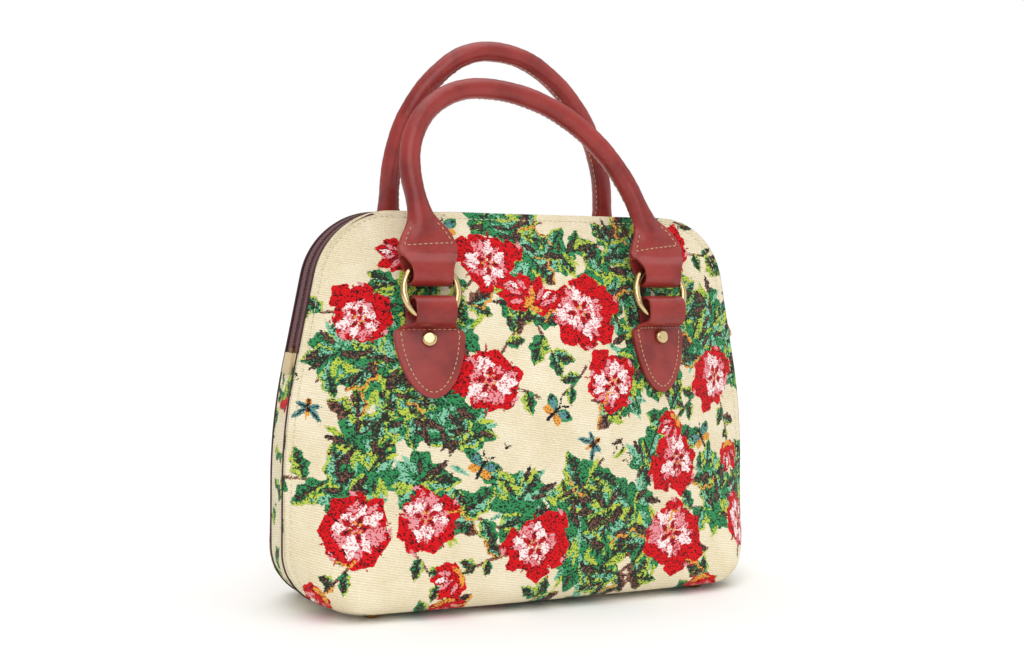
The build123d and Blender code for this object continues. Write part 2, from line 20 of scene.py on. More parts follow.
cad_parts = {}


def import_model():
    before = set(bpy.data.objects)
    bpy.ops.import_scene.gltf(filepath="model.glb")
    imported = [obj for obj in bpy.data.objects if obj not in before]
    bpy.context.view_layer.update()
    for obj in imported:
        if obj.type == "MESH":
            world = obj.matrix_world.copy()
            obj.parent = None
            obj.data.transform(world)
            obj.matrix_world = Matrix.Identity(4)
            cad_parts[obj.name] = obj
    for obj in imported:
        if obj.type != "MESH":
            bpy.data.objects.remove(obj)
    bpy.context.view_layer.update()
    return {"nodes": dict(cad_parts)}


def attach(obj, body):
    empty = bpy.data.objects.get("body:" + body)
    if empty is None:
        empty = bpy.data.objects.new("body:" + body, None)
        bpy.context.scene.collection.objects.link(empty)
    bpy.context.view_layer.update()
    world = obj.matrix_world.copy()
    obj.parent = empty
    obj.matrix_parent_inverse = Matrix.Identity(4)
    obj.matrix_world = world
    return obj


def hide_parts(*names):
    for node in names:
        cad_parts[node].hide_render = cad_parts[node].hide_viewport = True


log = logging.getLogger("handbag")
MM = 0.001
UV_SPAN = 100.0
SHOWN_COLOUR = (0.6, 0.4, 0.3, 1)

Colour = tuple[float, float, float, float]
Point = tuple[float, float, float]
Spot = tuple[float, float]


def tint(code: str) -> Colour:
    """Linear colour of a six-figure sRGB code."""
    parts = [int(code[i : i + 2], 16) / 255 for i in (0, 2, 4)]
    return (*[c / 12.92 if c <= 0.04045 else ((c + 0.055) / 1.055) ** 2.4 for c in parts], 1.0)


class Wire:
    """A value that varies over a surface: the output of a shader node, with arithmetic."""

    def __init__(self, graph: Graph, socket: bpy.types.NodeSocket) -> None:
        """Keeps the graph and the socket."""
        self.graph = graph
        self.socket = socket

    def __add__(self, other: Wire | float) -> Wire:
        """Sum."""
        return self.graph.maths("ADD", self, other)

    def __mul__(self, other: Wire | float) -> Wire:
        """Product."""
        return self.graph.maths("MULTIPLY", self, other)

    def __sub__(self, other: Wire | float) -> Wire:
        """Difference."""
        return self.graph.maths("SUBTRACT", self, other)

    def __rsub__(self, other: float) -> Wire:
        """Difference from a number."""
        return self.graph.maths("SUBTRACT", other, self)

    def __truediv__(self, other: Wire | float) -> Wire:
        """Quotient."""
        return self.graph.maths("DIVIDE", self, other)

    __radd__ = __add__
    __rmul__ = __mul__

    def smaller(self, other: Wire) -> Wire:
        """The smaller of two values."""
        return self.graph.maths("MINIMUM", self, other)

    def floor(self) -> Wire:
        """Whole number below."""
        return self.graph.maths("FLOOR", self)

    def wave(self) -> Wire:
        """A wave from 0 to 1 with a period of one unit."""
        return self.graph.maths("SINE", self * math.tau) * 0.5 + 0.5

    def step(self, low: float, high: float) -> Wire:
        """Goes from 0 at low to 1 at high, and stays within those."""
        settings = {"interpolation_type": "SMOOTHSTEP", "clamp": True}
        node = self.graph.node("ShaderNodeMapRange", settings, {0: self, 1: low, 2: high})
        return Wire(self.graph, node.outputs[0])


class Graph:
    """The nodes of one material."""

    def __init__(self, name: str) -> None:
        """Starts an empty material.

        Args:
            name: The material's name.
        """
        self.material = bpy.data.materials.new(name)
        self.material.use_nodes = True
        self.tree = self.material.node_tree
        self.tree.nodes.clear()

    def node(self, kind: str, settings: dict | None = None, inputs: dict | None = None) -> bpy.types.Node:
        """Adds one node.

        Args:
            kind: The node's type.
            settings: Properties that are set first.
            inputs: Values or wires by socket name or number.

        Returns:
            The node.
        """
        made = self.tree.nodes.new(kind)
        for key, value in (settings or {}).items():
            setattr(made, key, value)
        for key, value in (inputs or {}).items():
            if isinstance(value, Wire):
                self.tree.links.new(value.socket, made.inputs[key])
            else:
                made.inputs[key].default_value = value
        return made

    def maths(self, operation: str, *values: Wire | float) -> Wire:
        """Adds a Math node for an operation on values."""
        node = self.node("ShaderNodeMath", {"operation": operation}, dict(enumerate(values)))
        return Wire(self, node.outputs[0])

    def blend(self, share: Wire | float, low: Wire | Colour, high: Wire | Colour) -> Wire:
        """Mixes two colours by a share."""
        node = self.node("ShaderNodeMix", {"data_type": "RGBA"}, {0: share, 6: low, 7: high})
        return Wire(self, node.outputs[2])

    def place(self) -> Wire:
        """Object coordinates in metres."""
        return Wire(self, self.node("ShaderNodeTexCoord").outputs["Object"])

    def cloth_place(self) -> tuple[Wire, Wire]:
        """Place on the piece's own cloth map, across and along, in millimetres."""
        uv = self.node("ShaderNodeUVMap", {"uv_map": "cloth"})
        parts = self.node("ShaderNodeSeparateXYZ", None, {0: Wire(self, uv.outputs[0])})
        return Wire(self, parts.outputs[0]) * UV_SPAN, Wire(self, parts.outputs[1]) * UV_SPAN

    def join(self, x: Wire | float, y: Wire | float, z: Wire | float = 0.0) -> Wire:
        """Vector of three numbers."""
        return Wire(self, self.node("ShaderNodeCombineXYZ", None, {0: x, 1: y, 2: z}).outputs[0])

    def split(self, vector: Wire) -> tuple[Wire, Wire, Wire]:
        """Three parts of a vector or a colour."""
        parts = self.node("ShaderNodeSeparateXYZ", None, {0: vector})
        return Wire(self, parts.outputs[0]), Wire(self, parts.outputs[1]), Wire(self, parts.outputs[2])

    def noise(self, vector: Wire, scale: float, detail: float = 2.0, rough: float = 0.5) -> Wire:
        """Smooth noise about one half."""
        values = {"Vector": vector, "Scale": scale, "Detail": detail, "Roughness": rough}
        return Wire(self, self.node("ShaderNodeTexNoise", None, values).outputs["Fac"])

    def finish(
        self,
        colour: Wire | Colour,
        roughness: Wire | float,
        height: Wire | None = None,
        depth: float = 0.0002,
        fixed: dict | None = None,
    ) -> bpy.types.Material:
        """Closes the graph with a surface shader.

        Args:
            colour: Base colour.
            roughness: Roughness.
            height: Relief between 0 and 1.
            depth: How far the relief reaches, in metres.
            fixed: Other shader sockets and their numbers.

        Returns:
            The material.
        """
        values = {"Base Color": colour, "Roughness": roughness, **(fixed or {})}
        if height is not None:
            bump = self.node("ShaderNodeBump", None, {"Height": height, "Distance": depth, "Strength": 1.0})
            values["Normal"] = Wire(self, bump.outputs[0])
        shader = self.node("ShaderNodeBsdfPrincipled", None, values)
        output = self.node("ShaderNodeOutputMaterial")
        self.tree.links.new(shader.outputs[0], output.inputs[0])
        self.material.diffuse_color = colour if isinstance(colour, tuple) else SHOWN_COLOUR
        return self.material


class Yarn(Enum):
    """Yarns of the woven print, in the order in which they cover each other."""

    STEM = 0
    LEAF = 1
    SEA = 2
    LIME = 3
    SHADE = 4
    RED = 5
    PINK = 6
    PALE = 7
    CRIMSON = 8
    AMBER = 9
    BLUE = 10
    BLACK = 11


@dataclass(frozen=True)
class YarnDye:
    """Colour of a yarn, the yarn that speckles it, and the share of speckled stitches."""

    colour: str
    speck: str
    share: float


DYES = {
    Yarn.STEM: YarnDye("8A5C4C", "2E2622", 0.34),
    Yarn.LEAF: YarnDye("348C54", "22342A", 0.3),
    Yarn.SEA: YarnDye("86C6A4", "2C7450", 0.3),
    Yarn.LIME: YarnDye("BCCA4C", "4C8A3C", 0.28),
    Yarn.SHADE: YarnDye("2C2824", "7A5446", 0.34),
    Yarn.RED: YarnDye("D40C16", "460A10", 0.2),
    Yarn.PINK: YarnDye("E4949A", "C01C28", 0.2),
    Yarn.PALE: YarnDye("F6E8E6", "DE8088", 0.24),
    Yarn.CRIMSON: YarnDye("B80E18", "2A1014", 0.3),
    Yarn.AMBER: YarnDye("E6A040", "9A5A34", 0.25),
    Yarn.BLUE: YarnDye("5E9490", "2C5058", 0.25),
    Yarn.BLACK: YarnDye("1E1C1E", "4A3A38", 0.15),
}
FIELD_SPAN = 8.0
FIELD_NAMES = ("yarn_low", "yarn_mid", "yarn_top")
GARLANDS = (
    (-106, 108, 84, 50, True), (-14, 92, 40, 46, False), (86, 112, 158, 52, True), (152, 92, 96, 44, False),
    (-46, 192, 190, 50, False), (34, 214, 4, 52, True), (132, 190, 70, 46, False),
    (-118, 232, -50, 44, False), (-36, 268, 20, 46, False), (96, 276, 200, 42, False),
)
BASE_GARLANDS = ((-96, 0), (0, 50), (96, 20))
MOTHS = ((-50, 140, 60), (118, 150, 120), (-2, 172, 40), (-62, 288, 100))
BEETLES = ((24, 152, 30), (-152, 176, 80), (152, 246, 100))
BARE_PATCHES = ((-140, 262, 24), (16, 292, 18), (62, 158, 14), (-82, 150, 14), (-20, 62, 18), (128, 70, 16))
INSECT_ROOM = 17.0
MOTH_SIZE = 22
BEETLE_SIZE = 18
BASE_BLOSSOM = 42
BASE_MIDDLE = 6
STEM_WIDTH = 1.9
TUFT_YARNS = (Yarn.SEA, Yarn.SHADE, Yarn.LIME, Yarn.SEA, Yarn.LIME, Yarn.SHADE, Yarn.SEA)


@dataclass(frozen=True)
class TapestryFinish:
    """Ribbed cream cloth with a print woven in coarse stitches, and painted shade in its rib grooves."""

    ground: str = "F6ECD2"
    # Darker cream of the rib grooves, painted in as shade.
    rib_groove_shade: str = "DCCB9E"
    shade: str = "B9A88A"
    light: str = "FFFFFF"
    rib_pitch: float = 1.5
    rib_slope: float = 0.16
    stitch: float = 0.9
    jag: float = 1.0
    relief: float = 0.00045
    printed: bool = True

    def shapes(self, g: Graph, across: Wire, along: Wire) -> list[tuple[YarnDye, Wire]]:
        """Shapes of the print: each yarn's dye, and how far inside its shapes a place lies, in millimetres.

        Args:
            g: The material's nodes.
            across: Place across the cloth.
            along: Place along the cloth.

        Returns:
            The yarns in the order in which they cover each other.
        """
        found = []
        if not self.printed:
            place = g.join(across, along)
            leafy, bright = g.noise(place, 0.05, 3.0), g.noise(place, 0.16, 2.0)
            found.append((DYES[Yarn.LEAF], (leafy - 0.53) * 60.0))
            found.append((DYES[Yarn.LIME], ((leafy - 0.53) * 60.0).smaller((bright - 0.55) * 30.0)))
            found.append((DYES[Yarn.SHADE], ((leafy - 0.55) * 60.0).smaller((0.42 - bright) * 30.0)))
            found.append((DYES[Yarn.RED], (g.noise(place, 0.045, 1.0) * -1.0 + 0.34) * 60.0))
            return found
        for group, name in enumerate(FIELD_NAMES):
            source = g.node("ShaderNodeAttribute", {"attribute_name": name})
            channels = (*g.split(Wire(g, source.outputs["Color"])), Wire(g, source.outputs["Alpha"]))
            for place, channel in enumerate(channels):
                found.append((DYES[Yarn(group * 4 + place)], channel * FIELD_SPAN - FIELD_SPAN / 2))
        return found

    def build(self, name: str) -> bpy.types.Material:
        """Makes the material.

        Args:
            name: The material's name.

        Returns:
            The material.
        """
        g = Graph(name)
        if self.printed:
            across, along = g.cloth_place()
        else:
            _, across, along = g.split(g.place())
            across, along = across / MM, along / MM
        rib_place = (along + across * self.rib_slope) / self.rib_pitch
        rib = rib_place.wave()
        pick = (rib_place * 2.0).floor()
        cell = (across / self.stitch + pick * 0.5).floor()
        dice = g.node("ShaderNodeTexWhiteNoise", {"noise_dimensions": "3D"}, {"Vector": g.join(cell, pick)})
        roll = Wire(g, dice.outputs["Value"])
        speck, tone, lift = g.split(Wire(g, dice.outputs["Color"]))
        cloud = g.noise(g.join(across, along), 0.035, 3.0)
        # Painted shade: the bare cloth is darker in the rib grooves, where the rib relief is low; the
        # random stitch tone is real.
        bare = g.blend(rib * 0.6 + tone * 0.3, tint(self.rib_groove_shade), tint(self.ground))
        colour = g.blend(0.14, bare, g.blend(cloud.step(0.3, 0.7), tint(self.shade), tint(self.light)))
        printed: Wire | None = None
        shift = (roll - 0.5) * self.jag
        for dye, distance in self.shapes(g, across, along):
            mask = (distance + shift).step(-0.12, 0.12)
            plain = speck.step(dye.share, dye.share + 0.02)
            colour = g.blend(mask, colour, g.blend(plain, tint(dye.speck), tint(dye.colour)))
            printed = mask if printed is None else g.maths("MAXIMUM", printed, mask)
        height = rib * 0.45 + lift * 0.25
        if printed is not None:
            height = height + printed * (0.2 + tone * 0.35)
        fixed = {"Specular IOR Level": 0.15, "Sheen Weight": 0.05}
        return g.finish(colour, 0.78 - tone * 0.12, height, self.relief, fixed)


@dataclass(frozen=True)
class LeatherFinish:
    """Smooth dyed leather with fine creases, a soft gloss and a painted highlight on the raised creases."""

    colour: str = "96302B"
    dark: str = "78211E"
    # Lighter colour of the random patches and of the painted highlight on raised creases.
    light: str = "AE433E"
    cloud: float = 38.0
    crease: float = 210.0
    pebble: float = 620.0
    grain: float = 900.0
    rough: float = 0.4
    relief: float = 0.0001

    def build(self, name: str) -> bpy.types.Material:
        """Makes the material.

        Args:
            name: The material's name.

        Returns:
            The material.
        """
        g = Graph(name)
        place = g.place()
        cloud = g.noise(place, self.cloud, 4.0, 0.6)
        grain = g.noise(place, self.grain, 3.0, 0.55)
        crease = g.noise(place, self.crease, 5.0, 0.62)
        values = {"Vector": place, "Scale": self.pebble}
        cells = g.node("ShaderNodeTexVoronoi", {"feature": "DISTANCE_TO_EDGE"}, values)
        pebble = Wire(g, cells.outputs["Distance"]).step(0.0, 0.25)
        low = g.blend(cloud.step(0.3, 0.62), tint(self.dark), tint(self.colour))
        # Lighter in random cloud patches, which is real tone, and on the raised crease relief, which is
        # painted highlight.
        patch_tone_and_crease_highlight = cloud.step(0.55, 0.85) * 0.6 + crease.step(0.5, 0.75) * 0.18
        colour = g.blend(patch_tone_and_crease_highlight, low, tint(self.light))
        height = pebble * 0.18 + grain * 0.25 + crease * 0.6
        rough = self.rough + (crease - 0.5) * 0.25 + (cloud - 0.5) * 0.12
        fixed = {"Specular IOR Level": 0.35, "Coat Weight": 0.2, "Coat Roughness": 0.2}
        return g.finish(colour, rough, height, self.relief, fixed)


@dataclass(frozen=True)
class MetalFinish:
    """Polished or dulled brass with faint scuffs."""

    colour: str = "D9B574"
    stain: str = "A97F3E"
    rough: float = 0.16

    def build(self, name: str) -> bpy.types.Material:
        """Makes the material.

        Args:
            name: The material's name.

        Returns:
            The material.
        """
        g = Graph(name)
        place = g.place()
        cloud = g.noise(place, 120.0, 4.0, 0.6)
        scuff = g.noise(place, 900.0, 2.0, 0.5)
        colour = g.blend(cloud.step(0.42, 0.7) * 0.5, tint(self.colour), tint(self.stain))
        rough = self.rough + cloud.step(0.4, 0.75) * 0.14 + (scuff - 0.5) * 0.08
        return g.finish(colour, rough, scuff, 0.00002, {"Metallic": 1.0})


@dataclass(frozen=True)
class ThreadFinish:
    """Twisted sewing thread, with painted shade in the grooves of its twist."""

    colour: str = "E6CFA2"
    # Colour of the twist grooves, painted in as shade.
    dark: str = "B8925E"

    def build(self, name: str) -> bpy.types.Material:
        """Makes the material.

        Args:
            name: The material's name.

        Returns:
            The material.
        """
        g = Graph(name)
        x, y, z = g.split(g.place())
        twist = ((x + y * 0.6 + z) * 2600.0).wave()
        # Painted shade: the thread is darker in the grooves of its twist, where the twist relief is low.
        colour = g.blend(twist, tint(self.dark), tint(self.colour))
        return g.finish(colour, 0.6, twist, 0.0001, {"Sheen Weight": 0.2})


@dataclass(frozen=True)
class TrimFinish:
    """Plain woven or moulded trim with fine cross ribs, and painted shade in its rib grooves."""

    colour: str = "54191F"
    # Colour of the rib grooves, painted in as shade.
    dark: str = "2C0C10"
    pitch: float = 0.9
    rough: float = 0.65

    def build(self, name: str) -> bpy.types.Material:
        """Makes the material.

        Args:
            name: The material's name.

        Returns:
            The material.
        """
        g = Graph(name)
        place = g.place()
        x, y, z = g.split(place)
        rib = (y * (1000.0 / self.pitch)).wave()
        cross = ((x + z) * (1000.0 / self.pitch)).wave()
        cloud = g.noise(place, 60.0, 3.0)
        # Painted shade: the trim is darker where its rib and cross-rib relief is low; the cloud adds random
        # real tone.
        colour = g.blend(rib * 0.5 + cross * 0.2 + cloud * 0.3, tint(self.dark), tint(self.colour))
        return g.finish(colour, self.rough, rib * 0.6 + cross * 0.4, 0.0002, {"Sheen Weight": 0.15})


def piece_of(
    mesh: bmesh.types.BMesh, name: str, material: bpy.types.Material, smooth: bool = True
) -> bpy.types.Object:
    """Turns a bmesh in millimetres into an object in metres.

    Args:
        mesh: The geometry, which is freed.
        name: Name of the piece.
        material: Its finish.
        smooth: Whether its faces are shaded smooth.

    Returns:
        The object, at the origin.
    """
    bmesh.ops.scale(mesh, vec=(MM, MM, MM), verts=mesh.verts)
    for face in mesh.faces:
        face.smooth = smooth
    data = bpy.data.meshes.new(name)
    mesh.to_mesh(data)
    mesh.free()
    data.materials.append(material)
    made = bpy.data.objects.new(name, data)
    bpy.context.scene.collection.objects.link(made)
    return made


def skin(
    points: np.ndarray, closed: bool = False, wall: float = 0.0, target: bmesh.types.BMesh | None = None
) -> bmesh.types.BMesh:
    """A surface through rows of points, from a grid whose vertices are moved to them.

    Args:
        points: Rows by columns of places in millimetres.
        closed: Whether the last column meets the first, so that the ends are capped too.
        wall: Thickness given to the surface, towards its back.
        target: A bmesh that takes the surface as well as what it holds.

    Returns:
        The bmesh.
    """
    rows, columns = points.shape[:2]
    sheet = bmesh.new()
    bmesh.ops.create_grid(sheet, x_segments=columns - 1, y_segments=rows - 1, size=1.0)
    sheet.verts.ensure_lookup_table()
    for vertex, place in zip(sheet.verts, points.reshape(-1, 3)):
        vertex.co = place
    if closed:
        bmesh.ops.remove_doubles(sheet, verts=sheet.verts, dist=0.0005)
        bmesh.ops.holes_fill(sheet, edges=[e for e in sheet.edges if e.is_boundary], sides=0)
        bmesh.ops.recalc_face_normals(sheet, faces=sheet.faces)
    if wall:
        sheet.normal_update()
        bmesh.ops.solidify(sheet, geom=sheet.faces[:], thickness=wall)
    if target is None:
        return sheet
    spare = bpy.data.meshes.new("spare")
    sheet.to_mesh(spare)
    sheet.free()
    target.from_mesh(spare)
    bpy.data.meshes.remove(spare)
    return target


def curve(knots: Sequence[Sequence[float]], shares: np.ndarray) -> np.ndarray:
    """Places on the smooth curve that four knots shape, at shares from 0 at its start to 1 at its end."""
    a, b, c, d = (np.array(k) for k in knots)
    t = shares[:, None]
    return (1 - t) ** 3 * a + 3 * (1 - t) ** 2 * t * b + 3 * (1 - t) * t**2 * c + t**3 * d


def crowded(count: int) -> np.ndarray:
    """Numbers from -1 to 1 that lie closer together towards both ends."""
    return np.sin(np.linspace(-1, 1, count) * math.pi / 2)


def frame_matrix(origin: Vector, along: Vector, up: Vector) -> Matrix:
    """Placement with local X along a direction and local Z as near as possible to another."""
    x = along.normalized()
    y = up.cross(x).normalized()
    z = x.cross(y)
    return Matrix.Translation(origin) @ Matrix((x, y, z)).transposed().to_4x4()


@dataclass
class Seam:
    """A row of stitches along a line on a surface."""

    pitch: float = 3.6
    length: float = 2.9
    thick: float = 0.75

    def sew(self, mesh: bmesh.types.BMesh, line: Sequence[tuple[Vector, Vector]]) -> int:
        """Adds the stitches.

        Args:
            mesh: Takes the stitches.
            line: Places and outward directions along the seam, in millimetres.

        Returns:
            The number of stitches.
        """
        places = np.array([p for p, _ in line])
        outs = np.array([o for _, o in line])
        run = np.concatenate([[0], np.cumsum(np.linalg.norm(np.diff(places, axis=0), axis=1))])
        count = max(int(run[-1] / self.pitch), 1)
        for k in range(count):
            spots = [(k + 0.5 + side) * run[-1] / count for side in (-0.3, 0.0, 0.3)]
            low, mid, high = (Vector([np.interp(s, run, places[:, i]) for i in range(3)]) for s in spots)
            out = Vector([np.interp(spots[1], run, outs[:, i]) for i in range(3)]).normalized()
            matrix = frame_matrix(mid + out * (0.06 * math.sin(k * 2.3)), high - low, out)
            shape = Matrix.Diagonal((self.length / 2, self.thick / 2, self.thick * 0.45, 1))
            bmesh.ops.create_icosphere(mesh, subdivisions=1, radius=1.0, matrix=matrix @ shape)
        return count


@dataclass
class BagForm:
    """The outside of the cloth body: its front outline, its swelling panels and its boxed lower corners."""

    half_across: float = 159.0
    top: float = 241.0
    base: float = 4.0
    low_corner: float = 34.0
    knee: float = 112.0
    knee_bend: float = 350.0
    lean: float = 11.2
    high_corner: float = 48.0
    half_depth: float = 60.0
    half_strip: float = 14.0
    base_edge: float = 14.0
    lean_power: float = 3.1
    rim: float = 1.5
    inset_low: float = 18.0
    inset_high: float = 44.0
    boxy_height: float = 110.0
    boxy_share: float = 0.93
    edge_reach: float = 0.45
    edge_swing: float = 0.3
    edge_swell: float = 0.33
    boxy_swell: float = 0.12

    def width(self, z: float) -> float:
        """Half width of the front outline at a height."""
        slope = math.tan(math.radians(self.lean))
        bend_reach = self.knee_bend * math.tan(math.radians(self.lean) / 2)
        crown_z = self.top - self.high_corner
        corner_x = self.half_across - (self.top - self.knee) * slope
        crown_x = corner_x - self.high_corner * math.tan(math.radians(90 - self.lean) / 2)
        if z < self.base + self.low_corner:
            drop = self.base + self.low_corner - z
            return self.half_across - self.low_corner + math.sqrt(max(self.low_corner**2 - drop**2, 0))
        if z < self.knee - bend_reach:
            return self.half_across
        if z < self.knee + bend_reach * math.cos(math.radians(self.lean)):
            rise = z - self.knee + bend_reach
            return self.half_across - self.knee_bend + math.sqrt(self.knee_bend**2 - rise**2)
        if z < crown_z + self.high_corner * math.sin(math.radians(self.lean)):
            return self.half_across - (z - self.knee) * slope
        return crown_x + math.sqrt(max(self.high_corner**2 - (z - crown_z) ** 2, 0))

    def slope(self, z: float) -> float:
        """Growth of the front outline's half width for each millimetre of height."""
        z = min(z, self.top - 1)
        return self.width(z + 0.5) - self.width(z - 0.5)

    def full_width(self, z: float) -> float:
        """Half width of the cloth at a height, which lies a rim's width outside the outline."""
        lowest = self.base + self.base_edge * 0.1
        return self.width(min(max(z, lowest), self.top - 1)) + self.rim

    def depth(self, z: float) -> float:
        """Half depth at the middle of the panel at a height."""
        share = min(max((z - self.base) / (self.top - self.base), 0), 1)
        depth = self.half_strip + (self.half_depth - self.half_strip) * (1 - share**self.lean_power)
        rise = z - self.base
        if rise < self.base_edge:
            depth -= self.base_edge - math.sqrt(max(self.base_edge**2 - (self.base_edge - rise) ** 2, 0))
        return depth + self.rim

    def corner(self, z: float) -> tuple[float, float, float, float]:
        """Corner place, middle depth and boxiness of the section at a height."""
        width = self.full_width(z)
        depth = self.depth(z)
        boxy = (1 - min(max(z - self.base, 0) / self.boxy_height, 1)) ** 2
        corner_x = width - self.inset_high + (self.inset_high - self.inset_low) * boxy
        share = (1 - boxy) * (1 - (corner_x / width) ** 2) + boxy * self.boxy_share
        return corner_x, self.half_strip + (depth - self.half_strip) * share, depth, boxy

    def panel_depth(self, x: float, z: float) -> float:
        """Half depth of the panel between its corners."""
        corner_x, corner_y, depth, _ = self.corner(z)
        return depth - (depth - corner_y) * (x / corner_x) ** 2

    def out_of_panel(self, x: float, z: float) -> Vector:
        """Outward direction of the front panel between its corners."""
        slope_x = (self.panel_depth(x + 1, z) - self.panel_depth(x - 1, z)) / 2
        slope_z = (self.panel_depth(x, z + 1) - self.panel_depth(x, z - 1)) / 2
        return Vector((-slope_x, -1, -slope_z)).normalized()

    def section(self, z: float) -> np.ndarray:
        """Right half of the front section at a height, from the middle to the outline, as x and depth."""
        corner_x, corner_y, depth, boxy = self.corner(z)
        end_x = self.full_width(z)
        inset = end_x - corner_x
        slope = 2 * (depth - corner_y) / corner_x
        reach = self.edge_reach * inset
        swing = end_x - self.edge_swing * (1 - boxy) * inset
        lift = self.half_strip + (corner_y - self.half_strip) * (self.edge_swell + self.boxy_swell * boxy)
        x = np.linspace(0, corner_x, 60)
        middle = np.stack([x, depth - (depth - corner_y) * (x / corner_x) ** 2], axis=1)
        knots = [
            (corner_x, corner_y),
            (corner_x + reach, corner_y - slope * reach),
            (swing, lift),
            (end_x, self.half_strip),
        ]
        line = np.concatenate([middle, curve(knots, np.linspace(0, 1, 80)[1:])])
        limit = self.width(z)
        inside = line[:, 0] < limit
        inside[int(np.argmin(inside)) if not inside.all() else len(line) :] = False
        kept = line[inside]
        if len(kept) < len(line):
            nxt = line[len(kept)]
            share = (limit - kept[-1, 0]) / max(nxt[0] - kept[-1, 0], 1e-6)
            kept = np.concatenate([kept, [kept[-1] + (nxt - kept[-1]) * share]])
        return kept

    def heights(self, pitch: float) -> np.ndarray:
        """Heights of the rows of cloth, close together where outline or edge turn."""
        z = np.linspace(self.base, self.top, 3000)
        wide = np.array([self.width(v) for v in z])
        deep = np.array([self.depth(v) for v in z])
        steps = np.hypot(np.diff(z), np.maximum(np.abs(np.diff(wide)) * 0.5, np.abs(np.diff(deep))))
        run = np.concatenate([[0], np.cumsum(steps)])
        return np.interp(np.linspace(0, run[-1], int(run[-1] / pitch)), run, z)


@dataclass
class Panel:
    """Half of the cloth body, from the middle of the base up one face, as rows of points."""

    form: BagForm
    side: int
    pitch: float = 1.25
    calm: tuple[float, float, float, float] = (78.0, 160.0, 27.0, 34.0)
    swell: float = 0.5
    ripple: float = 0.35
    pucker: float = 0.32
    pucker_pitch: float = 2.9
    pucker_reach: float = 5.0
    tuck: float = 0.7
    tuck_inset: float = 4.2
    tuck_width: float = 1.6
    edge_hold: float = 6.0
    base_hold: float = 20.0
    sink: float = 0.5
    seam_start: float = 3.0
    points: np.ndarray = field(init=False)
    across: np.ndarray = field(init=False)
    along: np.ndarray = field(init=False)

    def __post_init__(self) -> None:
        """Lays out the rows."""
        form, half = self.form, int(2 * self.form.half_across / self.pitch / 2)
        rows, across, middle = [], [], []
        bottom = form.section(form.base)
        base_rows = int(form.half_depth / self.pitch / 1.3)
        sections = [(form.base, bottom * (1, share)) for share in np.linspace(0, 1, base_rows)]
        sections += [(z, form.section(z)) for z in form.heights(self.pitch)[1:]]
        for z, line in sections:
            run = np.concatenate([[0], np.cumsum(np.hypot(*np.diff(line, axis=0).T))])
            marks = np.linspace(0, run[-1], half + 1)
            x, depth = np.interp(marks, run, line[:, 0]), np.interp(marks, run, line[:, 1])
            mirrored = ((x, -1), (depth, 1), (marks, -1))
            x, depth, marks = (np.concatenate([sign * v[:0:-1], v]) for v, sign in mirrored)
            rows.append(np.stack([x, self.side * depth, np.full_like(x, z)], axis=1))
            across.append(marks)
            middle.append(rows[-1][half])
        self.points = np.array(rows)
        self.across = np.array(across)
        steps = np.linalg.norm(np.diff(np.array(middle), axis=0), axis=1)
        climb = np.concatenate([[0], np.cumsum(steps)])
        self.along = -self.side * np.repeat(climb[:, None], self.points.shape[1], axis=1)

    def outward(self) -> np.ndarray:
        """Outward direction at each point."""
        down, right = np.gradient(self.points, axis=0), np.gradient(self.points, axis=1)
        normal = np.cross(right, down) * -self.side
        normal[0] = (0, 0, -1)
        return normal / np.maximum(np.linalg.norm(normal, axis=2, keepdims=True), 1e-9)

    def soften(self) -> None:
        """Gives the cloth its slight unevenness: shallow swells, and puckers along the seams."""
        x, v = self.across, self.along
        sides = self.across.max(axis=1, keepdims=True) - np.abs(x)
        edge = np.minimum(sides, np.abs(v).max() - np.abs(v))
        high, wide = self.points[..., 2], np.abs(self.points[..., 0])
        swell = self.swell * np.sin(x / 37 + 1.3 * self.side) * np.sin(v / 29 + 0.6)
        swell = swell + self.ripple * np.sin(x / 17 + v / 23)
        pucker = self.pucker * np.sin((x + v) / self.pucker_pitch + np.sin(x / 21) * 2)
        pucker = pucker * np.exp(-edge / self.pucker_reach)
        tuck = -self.tuck * np.exp(-(((edge - self.tuck_inset) / self.tuck_width) ** 2))
        hold = np.clip(edge / self.edge_hold, 0, 1)
        hold = hold * np.clip((high - self.form.base) / self.base_hold, 0, 1)
        tab_x, tab_z, half_x, half_z = self.calm
        past_tab = np.clip(np.hypot((wide - tab_x) / half_x, (high - tab_z) / half_z) - 1, 0, 1)
        lift = (swell * hold - self.sink) * past_tab
        lift = lift + (pucker + tuck) * np.clip(edge / self.seam_start, 0, 1)
        self.points = self.points + self.outward() * (lift * hold)[..., None]

    def edge_line(self, inset: float) -> list[tuple[Vector, Vector]]:
        """Places and directions of a line inside the panel's sides and top."""
        normal = self.outward()
        line: list[tuple[Vector, Vector]] = []
        start = int(np.argmax(self.points[:, -1, 2] > self.form.base + 6))
        climb = np.abs(self.along[:, 0])
        stop = int(np.argmin(np.abs(climb - (climb[-1] - inset))))
        corner = self.across[stop, -1] - self.side_inset(stop, inset)

        def spot(row: int, place: float) -> None:
            """Adds the point of a row at a distance across."""
            values = [np.interp(place, self.across[row], self.points[row, :, i]) for i in range(3)]
            outs = [np.interp(place, self.across[row], normal[row, :, i]) for i in range(3)]
            line.append((Vector(values), Vector(outs)))

        for row in range(start, stop):
            spot(row, -self.across[row, -1] + self.side_inset(row, inset))
        for place in np.linspace(-corner, corner, 240):
            spot(stop, float(place))
        for row in range(stop - 1, start, -1):
            spot(row, self.across[row, -1] - self.side_inset(row, inset))
        return line

    def side_inset(self, row: int, inset: float) -> float:
        """Inset across a row that keeps the line at a constant distance from the outline."""
        return inset * math.hypot(1, self.form.slope(float(self.points[row, -1, 2])))


